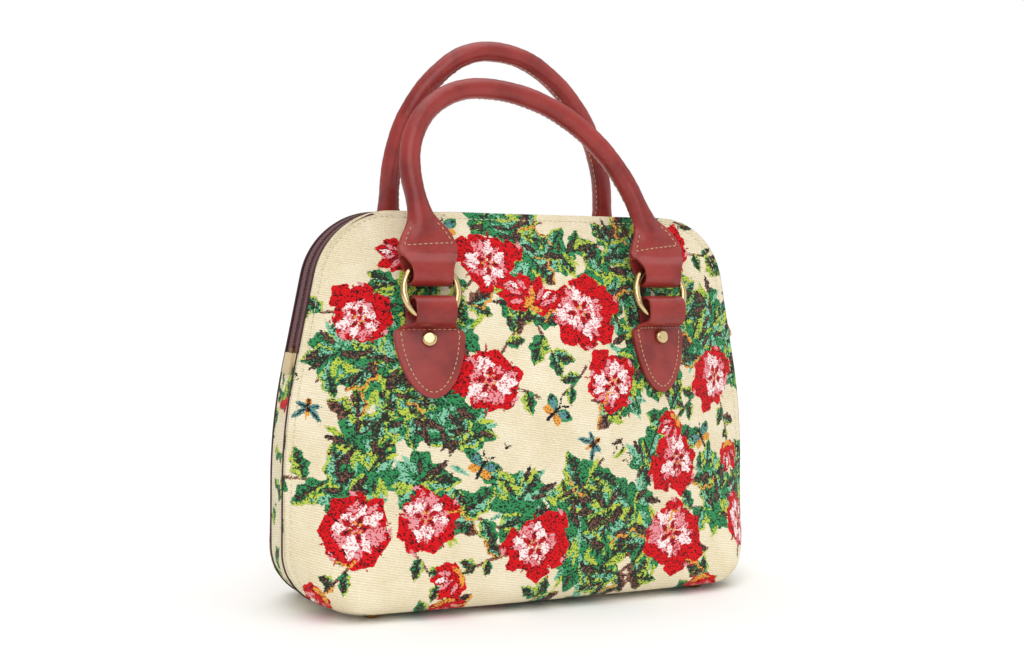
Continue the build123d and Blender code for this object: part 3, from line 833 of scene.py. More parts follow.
class Print:
    """The woven print: for each yarn, how far inside its shapes every point of the cloth lies."""

    def __init__(self, across: np.ndarray, along: np.ndarray, seed: int) -> None:
        """Starts with bare cloth.

        Args:
            across: Place across the cloth of each point, in millimetres.
            along: Place along the cloth of each point.
            seed: Seed of the small differences between motifs.
        """
        self.across, self.along = across.ravel(), along.ravel()
        self.low, self.high = float(along.min()), float(along.max())
        self.fields = {yarn: np.full(self.across.shape, -FIELD_SPAN / 2) for yarn in Yarn}
        self.dice = np.random.default_rng(seed)
        self.bare: list[tuple[float, float, float]] = []

    def stamp(
        self, yarn: Yarn, spot: Spot, turn: float, reach: float, inside: Callable[..., np.ndarray]
    ) -> None:
        """Lays one shape.

        Args:
            yarn: The yarn it is woven in.
            spot: Its own origin on the cloth.
            turn: Turn of its own axes in degrees.
            reach: Distance from the origin that holds the whole shape.
            inside: Distance inside the shape for arrays of its own x and y.
        """
        if not self.low - reach < spot[1] < self.high + reach:
            return
        if any(math.hypot(spot[0] - x, spot[1] - v) < keep for x, v, keep in self.bare):
            return
        close = (np.abs(self.across - spot[0]) < reach) & (np.abs(self.along - spot[1]) < reach)
        near = np.flatnonzero(close)
        if not len(near):
            return
        x, y = self.across[near] - spot[0], self.along[near] - spot[1]
        c, s = math.cos(math.radians(turn)), math.sin(math.radians(turn))
        depth = np.clip(inside(x * c + y * s, y * c - x * s), -FIELD_SPAN / 2, FIELD_SPAN / 2)
        self.fields[yarn][near] = np.maximum(self.fields[yarn][near], depth)

    def petal(
        self, yarn: Yarn, spot: Spot, turn: float, length: float, width: float,
        start: float = 0.0, blunt: float = 0.62, ruffle: float = 0.0,
        rim: float = 0.0, side: int = 0, phase: float | None = None,
    ) -> None:
        """Lays a petal or a leaf blade that grows from a spot.

        Args:
            yarn: Its yarn.
            spot: Where it grows from.
            turn: Its direction in degrees.
            length: Its length.
            width: Its greatest width.
            start: Distance from the spot at which it begins.
            blunt: Under 0.7 the blade is widest near its tip, over 1 near its root.
            ruffle: How uneven its edge is.
            rim: Width of the edge band that is laid, or 0 for the whole blade.
            side: 1 or -1 for one side of its midrib only.
            phase: Where the ruffles begin.
        """
        begin = self.dice.uniform(0, 6) if phase is None else phase

        def inside(x: np.ndarray, y: np.ndarray) -> np.ndarray:
            """Distance inside the blade."""
            q = np.clip((x - start) / length, 0, 1)
            half = width / 2 * np.sin(math.pi * q ** (1 / (2 * blunt))) ** 0.8
            half = half * (1 + ruffle * np.sin(q * 17 + begin + np.sign(y)))
            ends = np.maximum(start - x, x - start - length)
            depth = np.where(ends > 0, -ends - np.abs(y) * 0.3, half - np.abs(y))
            if rim:
                depth = np.minimum(depth, rim - depth)
            return np.minimum(depth, side * y) if side else depth

        self.stamp(yarn, spot, turn, start + length + 5, inside)

    def stroke(self, yarn: Yarn, a: Spot, b: Spot, width: float) -> None:
        """Lays a straight stroke between two spots."""
        run = math.hypot(b[0] - a[0], b[1] - a[1])

        def inside(x: np.ndarray, y: np.ndarray) -> np.ndarray:
            """Distance inside the stroke."""
            return width / 2 - np.hypot(x - np.clip(x, 0, run), y)

        turn = math.degrees(math.atan2(b[1] - a[1], b[0] - a[0]))
        self.stamp(yarn, a, turn, run + width + 4, inside)

    def dot(self, yarn: Yarn, spot: Spot, radius: float) -> None:
        """Lays a round spot."""
        self.stamp(yarn, spot, 0, radius + 5, lambda x, y: radius - np.hypot(x, y))

    def away(self, spot: Spot, turn: float, distance: float) -> Spot:
        """A spot at a distance in a direction."""
        return (
            spot[0] + distance * math.cos(math.radians(turn)),
            spot[1] + distance * math.sin(math.radians(turn)),
        )

    def blossom(self, spot: Spot, size: float, turn: float, pale: bool) -> None:
        """Lays a full blossom: broad red outer petals, ruffled pale inner ones and a speckled heart."""
        dice, half = self.dice, size / 2
        for k in range(8):
            way = turn + k * 45 + dice.uniform(-13, 13)
            squash = 1 - 0.16 * abs(math.sin(math.radians(way - turn)))
            reach = half * dice.uniform(0.78, 1.24) * squash
            wide = half * dice.uniform(0.6, 0.98)
            self.petal(Yarn.RED, spot, way, reach, wide, blunt=0.46, ruffle=0.24)
            self.petal(Yarn.CRIMSON, spot, way + 22, half * 0.3, 1.6, start=half * 0.6)
            if k % 3 == 0:
                edge = self.away(spot, way, reach * 0.9)
                self.petal(Yarn.PINK, edge, way + 80, half * 0.26, 2.4, ruffle=0.2)
        heart = self.away(spot, turn + dice.uniform(0, 360), half * 0.12)
        for k in range(9):
            way = turn + 12 + k * 40 + dice.uniform(-13, 13)
            reach, phase = half * dice.uniform(0.36, 0.68), dice.uniform(0, 6)
            yarn = Yarn.PALE if (k + pale) % 3 else Yarn.PINK
            wide = half * dice.uniform(0.24, 0.42)
            self.petal(Yarn.PINK, heart, way + 18, reach * 1.06, wide * 0.8, start=half * 0.06, ruffle=0.2)
            blade = {"start": half * 0.08, "blunt": 0.5, "ruffle": 0.24, "phase": phase}
            self.petal(yarn, heart, way, reach, wide, **blade)
            self.petal(Yarn.CRIMSON, heart, way, reach, wide, rim=0.9, side=1, **blade)
        for k in range(5):
            way = turn + 50 + k * 72 + dice.uniform(-16, 16)
            self.petal(Yarn.CRIMSON, heart, way, half * 0.26, half * 0.14, start=half * 0.1, ruffle=0.2)
            self.dot(Yarn.AMBER, self.away(heart, way + 34, half * 0.13), 0.9)
        self.dot(Yarn.LIME, heart, half * 0.05)

    def bud(self, spot: Spot, size: float, turn: float) -> None:
        """Lays a round bud of overlapping petals with its cup."""
        for way, share in ((-40, 0.78), (40, 0.78), (-16, 0.95), (18, 1.0)):
            self.petal(Yarn.RED, spot, turn + way, size * share, size * 0.5, blunt=0.6, ruffle=0.14)
        for way, share in ((-30, 0.4), (4, 0.5), (34, 0.38)):
            self.petal(Yarn.PINK, spot, turn + way, size * share, size * 0.13, start=size * 0.3, ruffle=0.2)
        self.petal(Yarn.PALE, spot, turn - 12, size * 0.36, size * 0.12, start=size * 0.45, ruffle=0.2)
        self.petal(Yarn.CRIMSON, spot, turn + 16, size * 0.5, size * 0.1, start=size * 0.22)
        for way in (-62, -20, 24, 64):
            yarn = Yarn.AMBER if abs(way) > 30 else Yarn.LIME
            self.petal(yarn, spot, turn + way, size * 0.38, size * 0.15, blunt=0.9)

    def leaf(self, spot: Spot, length: float, turn: float) -> None:
        """Lays one lobed leaf with a bright rim, a light half, a midrib and dark veins."""
        dice = self.dice
        width, phase = length * dice.uniform(0.52, 0.66), dice.uniform(0, 6)
        side = 1 if dice.random() < 0.5 else -1
        kind = dice.random()
        body = Yarn.STEM if kind < 0.2 else Yarn.LEAF
        bright = Yarn.AMBER if kind < 0.1 else Yarn.LIME
        self.petal(body, spot, turn, length, width, blunt=0.74, ruffle=0.2, phase=phase)
        self.petal(
            bright, spot, turn, length, width, blunt=0.74, ruffle=0.2, rim=1.7, side=side, phase=phase
        )
        near, far = length * 0.1, length * 0.72
        light = Yarn.LIME if kind > 0.8 else Yarn.SEA
        self.petal(light, spot, turn + side * 13, far, width * 0.3, start=near, blunt=0.8, ruffle=0.3)
        self.stroke(Yarn.SHADE, spot, self.away(spot, turn, length * 0.82), 1.2)
        for share in (0.25, 0.45, 0.65):
            root = self.away(spot, turn, length * share)
            for way in (46, -46):
                vein = self.away(root, turn + way, width * 0.38 * (1.1 - share * 0.5))
                self.stroke(Yarn.SHADE, root, vein, 0.8 if way * side > 0 else 1.3)

    def tuft(self, spot: Spot, radius: float) -> None:
        """Lays a thick mass of small leaves that cover each other."""
        dice, phase = self.dice, self.dice.uniform(0, 6)

        def inside(x: np.ndarray, y: np.ndarray) -> np.ndarray:
            """Distance inside the lobed mass."""
            way = np.arctan2(y, x)
            edge = radius * (1 + 0.14 * np.sin(5 * way + phase) + 0.09 * np.sin(11 * way + 2 * phase))
            return edge - np.hypot(x, y)

        self.stamp(Yarn.LEAF, spot, 0, radius * 1.4, inside)
        for k in range(int(radius * 1.05)):
            way = dice.uniform(0, 360)
            root = self.away(spot, way, radius * dice.uniform(0.1, 0.8))
            yarn = TUFT_YARNS[k % len(TUFT_YARNS)]
            grow = dice.uniform(9, 15)
            aim = way + dice.uniform(-50, 50)
            self.petal(yarn, root, aim, grow, grow * dice.uniform(0.2, 0.34), ruffle=0.25)

    def spray(
        self, spot: Spot, length: float, turn: float, bend: float, leaves: int, size: float
    ) -> Spot:
        """Lays a bending stem with leaves on both sides.

        Args:
            spot: Where the stem starts.
            length: Its length.
            turn: Its first direction.
            bend: How far it turns by its end.
            leaves: Number of leaves.
            size: Length of the largest leaf.

        Returns:
            The stem's end.
        """
        here = spot
        for k in range(leaves):
            way = turn + bend * k / leaves
            there = self.away(here, way, length / leaves)
            self.stroke(Yarn.STEM, here, there, STEM_WIDTH)
            grow = size * (1.0 - 0.45 * k / leaves) * self.dice.uniform(0.8, 1.12)
            self.leaf(there, grow, way + (52 if k % 2 else -52) + self.dice.uniform(-14, 14))
            here = there
        self.leaf(here, size * 0.62, turn + bend)
        return here

    def moth(self, spot: Spot, size: float, turn: float) -> None:
        """Lays a small moth with two pairs of wings."""
        for side in (-1, 1):
            self.petal(Yarn.LEAF, spot, turn + side * 62, size * 0.56, size * 0.34, blunt=0.5)
            self.petal(
                Yarn.BLUE, spot, turn + side * 62, size * 0.44, size * 0.22, start=size * 0.05, blunt=0.5
            )
            self.petal(Yarn.AMBER, spot, turn + side * 118, size * 0.4, size * 0.26, blunt=0.5)
            self.dot(Yarn.BLACK, self.away(spot, turn + side * 62, size * 0.42), size * 0.055)
            horn = self.away(spot, turn + side * 22, size * 0.46)
            self.stroke(Yarn.BLACK, self.away(spot, turn, size * 0.2), horn, 1.1)
        head, tail = self.away(spot, turn, size * 0.2), self.away(spot, turn + 180, size * 0.3)
        self.stroke(Yarn.BLACK, head, tail, 2.0)

    def beetle(self, spot: Spot, size: float, turn: float) -> None:
        """Lays a small striped winged insect."""
        for way, share in ((48, 0.7), (-48, 0.7), (100, 0.45), (-100, 0.45)):
            self.petal(Yarn.BLUE, spot, turn + 180 - way, size * share, size * 0.2, blunt=0.5)
            vein = self.away(spot, turn + 180 - way, size * share * 0.8)
            self.stroke(Yarn.BLACK, spot, vein, 1.0)
        head = self.away(spot, turn, size * 0.3)
        self.petal(Yarn.AMBER, head, turn + 180, size * 0.75, size * 0.24, blunt=0.9)
        for k in range(4):
            self.dot(Yarn.BLACK, self.away(spot, turn + 180, size * (0.12 * k - 0.22)), size * 0.06)

    def garland(self, spot: Spot, turn: float, size: float, pair: bool = True) -> None:
        """Lays a group: blossoms in the middle, leafy sprays and tufts round them, and buds on stems.

        Args:
            spot: The middle of the group.
            turn: Its turn in degrees.
            size: Width of its blossoms.
            pair: Whether it has two blossoms.
        """
        dice = self.dice
        for k, offset in enumerate((-68, -24, 20, 66)):
            way = turn + offset + dice.uniform(-10, 10)
            self.tuft(self.away(spot, way, size * 0.62), size * dice.uniform(0.28, 0.38))
            if k in (1, 2):
                self.tuft(self.away(spot, way, size * 1.02), size * dice.uniform(0.24, 0.3))
            bend = dice.uniform(-50, 50)
            root = self.away(spot, way, size * 0.42)
            self.spray(root, size * dice.uniform(0.85, 1.15), way, bend, 4, size * 0.58)
        for offset in (148, -140):
            way, bend = turn + offset + dice.uniform(-12, 12), dice.uniform(-40, 40)
            root = self.away(spot, way, size * 0.36)
            tip = self.spray(root, size * dice.uniform(0.42, 0.6), way, bend, 3, size * 0.3)
            stalk = self.away(tip, way + bend, size * 0.2)
            self.stroke(Yarn.STEM, tip, stalk, STEM_WIDTH)
            self.bud(stalk, size * 0.46, way + bend)
        if pair:
            self.blossom(self.away(spot, turn + 110, size * 0.42), size, turn, False)
            self.blossom(self.away(spot, turn - 80, size * 0.46), size * 0.86, turn + 25, True)
        else:
            self.blossom(spot, size, turn, True)

    def draw(self) -> None:
        """Lays the whole design, front, base and back, with bare cloth round the insects."""
        for face in (1, -1):
            self.bare = [(face * x, face * v, INSECT_ROOM) for x, v, _ in MOTHS + BEETLES]
            self.bare += [(face * x, face * v, keep) for x, v, keep in BARE_PATCHES]
            for x, v, turn, size, pair in GARLANDS:
                self.garland((face * x, face * v), turn + 90 - 90 * face, size, pair)
            self.bare = []
            for x, v, turn in MOTHS:
                self.moth((face * x, face * v), MOTH_SIZE, turn * face)
            for x, v, turn in BEETLES:
                self.beetle((face * x, face * v), BEETLE_SIZE, turn * face)
        for x, turn in BASE_GARLANDS:
            self.garland((x, BASE_MIDDLE), turn, BASE_BLOSSOM, pair=False)

    def store(self, mesh: bpy.types.Mesh) -> None:
        """Writes the fields to the mesh as three colour attributes."""
        for group, name in enumerate(FIELD_NAMES):
            layer = mesh.color_attributes.new(name, "FLOAT_COLOR", "POINT")
            stack = np.stack([self.fields[Yarn(group * 4 + k)] for k in range(4)], axis=1)
            layer.data.foreach_set("color", (stack / FIELD_SPAN + 0.5).astype(np.float32).ravel())


@dataclass
class TapestryCloth:
    """The cloth body: a front half and a back half that meet under the middle of the base."""

    form: BagForm
    topstitch: float = 4.2
    fold: float = 2.4
    fold_start: float = 4.0
    side_folds: tuple[Spot, ...] = ((0.35, 0.25), (0.8, 0.8))
    side_step: float = 0.8
    top_folds: tuple[Spot, ...] = ((0.7, 0.2), (1.5, 1.4))
    top_step: float = 0.9
    turn_stop: float = 0.3
    turn_lap: float = 0.25
    turn_end: float = 0.5
    turn_inset: float = 0.2
    turn_columns: int = 13

    def tucked(self, panel: Panel) -> tuple[np.ndarray, np.ndarray, np.ndarray]:
        """Points and cloth places of a panel with its side and top edges folded in."""
        form = self.form
        points, across, along = panel.points, panel.across, panel.along
        ends = []
        for row in points:
            slope = form.slope(row[-1, 2])
            ends.append(np.array((1, 0, -slope)) / math.hypot(1, slope))
        out = np.array(ends)
        keep = np.clip((points[:, 0, 2] - form.base) / self.fold_start, 0, 1)[:, None]
        for reach, inward in self.side_folds:
            step = np.array((0, -panel.side * inward, 0)) * keep
            right = points[:, -1] - out * (self.fold * reach * keep) + step
            left = points[:, 0] - out * (-1, 1, 1) * (self.fold * reach * keep) + step
            points = np.concatenate([left[:, None], points, right[:, None]], axis=1)
            wider = (across[:, :1] - self.side_step, across, across[:, -1:] + self.side_step)
            across = np.concatenate(wider, axis=1)
            along = np.concatenate([along[:, :1], along, along[:, -1:]], axis=1)
        for inward, drop in self.top_folds:
            row = points[-1:] + (0, -panel.side * inward, -drop)
            points = np.concatenate([points, row])
            across = np.concatenate([across, across[-1:]])
            along = np.concatenate([along, along[-1:] - self.top_step * panel.side])
        return points, across, along

    def corner_turn(self, panel: Panel, hand: int) -> tuple[np.ndarray, np.ndarray]:
        """Cloth that turns under a lower corner, from the panel's edge to the side strip.

        Args:
            panel: The panel.
            hand: 1 for the right corner and -1 for the left one.

        Returns:
            Rows of points, and the cloth place of each.
        """
        last = -1 if hand > 0 else 0
        edge, strip = panel.points[:, last], self.form.half_strip
        start = int(np.argmax(edge[:, 2] > self.form.base)) - 1
        stop = start + int(np.argmax(np.abs(edge[start:, 1]) < strip + self.turn_stop))
        edge, shares = edge[start:stop], np.linspace(0, 1, self.turn_columns)
        far = np.abs(edge[:, 1:2]) - self.turn_lap
        depth = far + (strip - self.turn_end - far) * shares
        wide = np.repeat(edge[:, :1] - hand * self.turn_inset, len(shares), axis=1)
        points = np.stack([wide, panel.side * depth, np.repeat(edge[:, 2:], len(shares), axis=1)], axis=2)
        across = panel.across[start:stop, last, None] + hand * (far - depth)
        along = np.repeat(panel.along[start:stop, last, None], len(shares), axis=1)
        places = np.stack([across, along], axis=2)
        if hand * panel.side > 0:
            points, places = points[:, ::-1], places[:, ::-1]
        return points, places.reshape(-1, 2)

    def build(self, face: str, side: int, cloth: bpy.types.Material) -> tuple[bpy.types.Object, Panel]:
        """Makes one half of the body with its print.

        Args:
            face: The name of the face.
            side: -1 at the front and 1 at the back.
            cloth: The printed finish.

        Returns:
            The piece, and its panel for the stitching.
        """
        panel = Panel(self.form, side)
        panel.soften()
        points, across, along = self.tucked(panel)
        if side > 0:
            points, across, along = points[:, ::-1], across[:, ::-1], along[:, ::-1]
        mesh = skin(points)
        spots = [np.stack([across.ravel(), along.ravel()], axis=1)]
        for hand in (1, -1):
            turned, places = self.corner_turn(panel, hand)
            skin(turned, target=mesh)
            spots.append(places)
        across, along = np.concatenate(spots).T
        piece = piece_of(mesh, f"cloth_{face}", cloth)
        layer = piece.data.uv_layers.new(name="cloth")
        corners = np.zeros(len(piece.data.loops), dtype=np.int32)
        piece.data.loops.foreach_get("vertex_index", corners)
        places = np.stack([across, along], axis=1)[corners] / UV_SPAN
        layer.data.foreach_set("uv", places.astype(np.float32).ravel())
        pattern = Print(across, along, seed=11)
        pattern.draw()
        pattern.store(piece.data)
        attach(piece, "bag")
        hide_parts("tapestry_body")
        return piece, panel

    def stitch(self, face: str, panel: Panel, thread: bpy.types.Material) -> bpy.types.Object:
        """Sews the topstitching inside a panel's edges."""
        mesh = bmesh.new()
        Seam().sew(mesh, panel.edge_line(self.topstitch))
        piece = piece_of(mesh, f"topstitch_{face}", thread)
        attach(piece, "bag")
        return piece


def fold_run(start: Spot, centre: Spot, rise: float, radius: float) -> list[Spot]:
    """Side view of a strap that leaves a point, turns round a bar and comes to its other side.

    Args:
        start: Where the strap leaves, as height and distance out.
        centre: The lower centre of its turn.
        rise: How far above it the upper centre lies.
        radius: The turn's outer radius.

    Returns:
        Points of the strap's outer face up to the far side of the turn.
    """
    up, out = centre[0] - start[0], centre[1] - start[1]
    distance = math.hypot(up, out)
    way = math.atan2(out, up) + math.asin(radius / distance)
    run = math.sqrt(distance**2 - radius**2)
    touch = (start[0] + run * math.cos(way), start[1] + run * math.sin(way))
    first = math.atan2(touch[0] - centre[0], touch[1] - centre[1])
    up, out = touch[0] - start[0], touch[1] - start[1]
    points = [(start[0] + up * s, start[1] + out * s) for s in np.linspace(0, 1, 6)]
    for angle in np.linspace(first, 0, 5)[1:]:
        points.append((centre[0] + radius * math.sin(angle), centre[1] + radius * math.cos(angle)))
    for angle in np.linspace(0, math.pi, 19):
        points.append((centre[0] + rise + radius * math.sin(angle), centre[1] + radius * math.cos(angle)))
    return points


@dataclass
class ShieldTab:
    """A leather shield on a panel, folded at its top round a ring, its two layers stitched together."""

    form: BagForm
    x: float = 78.0
    axis: float = 180.0
    half_fold: float = 12.5
    half_width: float = 20.6
    shoulder: float = 169.0
    flare: float = 167.6
    neck: float = 174.2
    crease: float = 169.8
    seam: float = 170.4
    touch_angle: float = 58.0
    tip: float = 130.0
    fullness: float = 1.75
    leather: float = 1.8
    lift: float = 0.35
    turn_radius: float = 7.86
    turn_rise: float = 2.78
    axis_depth: float = 45.626
    stitch_inset: float = 3.7
    stitch_rise: float = 0.1
    corner: float = 2.6
    foot_rise: float = 1.9
    foot_sink: float = 0.5
    turn_run: float = 3.2
    slack: float = 0.1
    bevel: float = 0.5

    def half_at(self, z: float | np.ndarray) -> np.ndarray:
        """Half width of the outline at a height: round tip, full sides, and a hollow run to the fold."""
        low = np.clip((np.asarray(z) - self.tip) / (self.shoulder - self.tip), 0, 1)
        high = np.clip((np.asarray(z) - self.flare) / (self.neck - self.flare), 0, 1)
        full = self.half_width * np.sqrt(1 - (1 - low) ** self.fullness)
        return full - (self.half_width - self.half_fold) * high**2 * (3 - 2 * high)

    def shield_heights(self) -> np.ndarray:
        """Heights of the shield's rows, close together round the tip."""
        rise = self.shoulder - self.tip
        low = self.tip + rise * (1 - np.cos(np.linspace(0.06, math.pi / 2, 26)))
        return low[low < self.crease]

    def rise(self) -> np.ndarray:
        """Side view of the front layer's run from the shield to the turn: heights and distances out."""
        foot = self.form.panel_depth(self.x, self.crease) + self.lift + 2 * self.leather
        touch = math.radians(self.touch_angle)
        across, up = math.cos(touch), math.sin(touch)
        top = np.array((self.axis - self.turn_radius * up, self.axis_depth + self.turn_radius * across))
        knots = (
            (self.crease, foot),
            (self.crease + self.foot_rise, foot - self.foot_sink),
            top - np.array((across, up)) * self.turn_run,
            top,
        )
        return curve(knots, np.linspace(0, 1, 15))

    def climb(self, z: float) -> float:
        """How far the front layer has left the shield at a height, on its way to the ring."""
        line = self.rise()
        if z < line[0, 0]:
            return 0.0
        layer = self.form.panel_depth(self.x, z) + self.lift + 2 * self.leather
        return float(np.interp(z, line[:, 0], line[:, 1])) - layer

    def sheet_points(self) -> np.ndarray:
        """Outer face of the folded sheet, as rows from the front's tip over the fold to the back's tip."""
        shield = self.shield_heights()
        front_out = self.lift + 2 * self.leather
        shares = crowded(27)
        rows: list[list[Point]] = []

        def row(z: float, depth: Callable[[float], float]) -> None:
            """Adds the row of a height, with its depth at each place across."""
            across = [self.x + u * float(self.half_at(z)) for u in shares]
            rows.append([(x, -depth(x), z) for x in across])

        for z in shield:
            row(z, lambda x: self.form.panel_depth(x, z) + front_out)
        line = self.rise()
        for k, (z, depth) in enumerate(line):
            bend = 1 - k / (len(line) - 1)
            middle = self.form.panel_depth(self.x, z)
            row(z, lambda x: depth + (self.form.panel_depth(x, z) - middle) * bend)
        for angle in np.linspace(math.radians(-self.touch_angle), 0, 7)[1:]:
            z = self.axis + self.turn_radius * math.sin(angle)
            row(z, lambda x: self.axis_depth + self.turn_radius * math.cos(angle))
        for angle in np.linspace(0, math.pi, 19):
            z = self.axis + self.turn_rise + self.turn_radius * math.sin(angle)
            row(z, lambda x: self.axis_depth + self.turn_radius * math.cos(angle))
        for z in np.concatenate([np.linspace(self.axis, self.crease, 8)[:-1], shield[::-1]]):
            row(z, lambda x: self.form.panel_depth(x, z) + self.lift)
        return np.array(rows)

    def build(self, name: str, across: int, side: int, hide: bpy.types.Material) -> bpy.types.Object:
        """Makes one tab.

        Args:
            name: The corner's name.
            across: 1 at the right and -1 at the left.
            side: 1 at the front and -1 at the back.
            hide: The leather finish.

        Returns:
            The piece.
        """
        points = self.sheet_points() * (across, side, 1)
        if across * side < 0:
            points = points[:, ::-1]
        mesh = skin(points, wall=self.leather - self.slack)
        piece = piece_of(mesh, f"leather_tab_{name}", hide)
        edge = piece.modifiers.new("edge", "BEVEL")
        edge.width, edge.segments = self.bevel * MM, 2
        edge.limit_method, edge.angle_limit = "ANGLE", math.radians(50)
        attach(piece, "bag")
        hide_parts(f"tab_{name}")
        return piece

    def stitch(self, name: str, across: int, side: int, thread: bpy.types.Material) -> bpy.types.Object:
        """Sews the closed line inside the shield's outline.

        Args:
            name: The corner's name.
            across: 1 at the right and -1 at the left.
            side: 1 at the front and -1 at the back.
            thread: The thread finish.

        Returns:
            The piece.
        """
        out = self.lift + 2 * self.leather + self.stitch_rise
        angles = np.linspace(0, math.pi / 2, 90)
        heights = self.tip + (self.shoulder - self.tip) * (1 - np.cos(angles))
        edge = np.stack([self.half_at(heights), heights], axis=1)
        run = np.gradient(edge, axis=0)
        run /= np.linalg.norm(run, axis=1, keepdims=True)
        inner = edge + np.stack([-run[:, 1], run[:, 0]], axis=1) * self.stitch_inset
        inner = inner[(inner[:, 0] > 0) & (inner[:, 1] < self.seam - self.corner)]
        wide = float(inner[-1, 0])
        bend = [
            (wide - self.corner * (1 - math.cos(a)), self.seam - self.corner * (1 - math.sin(a)))
            for a in np.linspace(0, math.pi / 2, 5)
        ]
        right = [(0.0, float(inner[0, 1])), *((float(x), float(z)) for x, z in inner), *bend]
        outline = right + [(-x, z) for x, z in right[::-1]]
        mesh = bmesh.new()
        spots = []
        for x, z in outline:
            place = self.x + x
            depth = self.form.panel_depth(place, z) + out + self.climb(z)
            spots.append((Vector((place, -depth, z)), self.form.out_of_panel(place, z)))
        flip = Vector((across, side, 1))
        Seam(pitch=3.0, length=2.3, thick=0.75).sew(mesh, [(p * flip, o * flip) for p, o in spots])
        piece = piece_of(mesh, f"tab_stitch_{name}", thread)
        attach(piece, "bag")
        return piece


Leg = tuple[float, tuple[Spot, ...]]
Step = tuple[float, float, float]
QUARTER_ANGLES = (0.0, 0.05, 0.11, 0.2, 0.34, 0.52, 0.72, 0.95, 1.2, 1.42)


@dataclass
class RolledHandle:
    """A leather handle: rolled and sewn along its inner side, with flat ends folded round two rings."""

    name: str
    side: int
    lean: float
    crown: float
    left: Leg
    right: Leg
    x: float = 78.0
    axis: float = 180.0
    axis_depth: float = 45.626
    ring_rise: float = 27.0802
    turn_radius: float = 7.86
    turn_rise: float = 2.78
    half_fold: float = 12.5
    leather: float = 1.8
    flat_root: float = 8.0
    flat_bend: float = 18.0
    flat_neck: float = 16.0
    crown_run: float = 2.0
    marks: tuple[float, ...] = (8.0, 12.0, 16.0, 22.0, 30.0, 37.0, 44.0)
    widths: tuple[float, ...] = (35.0, 37.2, 36.6, 31.0, 19.5, 14.0, 12.6)
    layers: tuple[float, ...] = (9.0, 7.4, 6.2, 5.0, 4.6, 6.0, 8.0)
    ridges: tuple[float, ...] = (0.0, 0.0, 7.0, 11.2, 12.2, 12.6, 12.6)
    cuff: float = 15.2
    seam_twist: float = -48.0
    seam_column: int = 4
    roll_half: float = 7.4
    seam_gap: float = 6.0
    sewn: tuple[float, float] = (14.4, 27.0)
    stitch_inset: float = 3.6
    stitch_rise: float = 0.1
    cuff_stitch_rise: float = 0.3
    cuff_rise: float = 0.25
    cuff_gap: float = 0.8
    slack: float = 0.1
    squareness: tuple[Spot, Spot] = ((20.0, 44.0), (3.4, 2.0))
    roll_start: float = 24.0
    roll_run: float = 18.0
    seam_dent: float = 0.085
    edge_dent: float = 0.06
    dent_reach: float = 0.075
    waves: tuple[Step, ...] = ((0.006, 0.9, 0), (0.012, 0.35, 2), (0.008, 1.7, 3))

    def move(self, step: Step) -> Spot:
        """Travel towards the middle and upwards along one piece of a leg."""
        before, after, length = math.radians(step[0]), math.radians(step[1]), step[2]
        if before == after:
            return length * math.sin(before), length * math.cos(before)
        bend = length / (after - before)
        return bend * (math.cos(before) - math.cos(after)), bend * (math.sin(after) - math.sin(before))

    def steps(self, leg: Leg) -> list[Step]:
        """Pieces of a leg: its flat end, and then its bends."""
        heading, arcs = leg
        found = [(0.0, 0.0, self.flat_root), (0.0, heading, self.flat_bend)]
        found.append((heading, heading, self.flat_neck))
        for turn, radius in arcs:
            found.append((heading, turn, radius * math.radians(turn - heading)))
            heading = turn
        return found

    def solve(self) -> tuple[list[Step], list[Step]]:
        """Pieces of both legs, with the straights that make them meet at the crown."""
        left, right = self.steps(self.left), self.steps(self.right)
        heading = math.radians(self.left[0])
        moves = [self.move(step) for step in left]
        spare = (self.crown - self.ring_rise - sum(m[1] for m in moves)) / math.cos(heading)
        left.insert(3, (self.left[0], self.left[0], spare))
        end_x = -self.x + sum(m[0] for m in moves) + spare * math.sin(heading)
        moves = [self.move(step) for step in right[:-1]]
        gap_x = self.x - end_x - self.crown_run - sum(m[0] for m in moves)
        gap_up = self.crown - self.ring_rise - sum(m[1] for m in moves)
        turn, last = right[-1][0], right[-1][1]
        unit = self.move((turn, last, math.radians(last - turn)))
        heading = math.radians(self.right[0])
        area = math.sin(heading) * unit[1] - unit[0] * math.cos(heading)
        spare = (gap_x * unit[1] - unit[0] * gap_up) / area
        bend = (math.sin(heading) * gap_up - gap_x * math.cos(heading)) / area
        right[-1] = (turn, last, bend * math.radians(last - turn))
        right.insert(3, (self.right[0], self.right[0], spare))
        return left, right

    def walk(self, steps: list[Step], side: int, distance: float) -> tuple[float, float, float]:
        """Place and heading at a distance along a leg, in the handle's own plane."""
        x, up, heading = side * self.x, self.ring_rise, 0.0
        for before, after, length in steps:
            run = min(distance, length)
            heading = before + (after - before) * run / length
            across, rise = self.move((before, heading, run))
            x, up = x - side * across, up + rise
            distance -= run
            if distance <= 0:
                break
        return x, up, heading

    def line(self, pitch: float = 1.6) -> np.ndarray:
        """Rows of place, direction and distance from the nearer ring, from one ring to the other."""
        left, right = self.solve()
        rows = []
        for steps, side in ((left, -1), (right, 1)):
            total = sum(step[2] for step in steps)
            part = []
            for distance in np.linspace(self.flat_root, total, int(total / pitch)):
                x, up, heading = self.walk(steps, side, distance)
                angle = math.radians(heading)
                part.append((x, up, math.sin(angle), -side * math.cos(angle), distance))
            rows += part if side < 0 else part[::-1]
        return np.array(rows)

    def place(self, points: np.ndarray) -> np.ndarray:
        """Moves points from the handle's own plane to the bag."""
        lean = math.radians(self.lean)
        x, up, out = points[..., 0], points[..., 1], points[..., 2]
        depth = self.axis_depth - up * math.sin(lean) + out * math.cos(lean)
        height = self.axis + up * math.cos(lean) + out * math.sin(lean)
        return np.stack([x, self.side * depth, height], axis=-1)

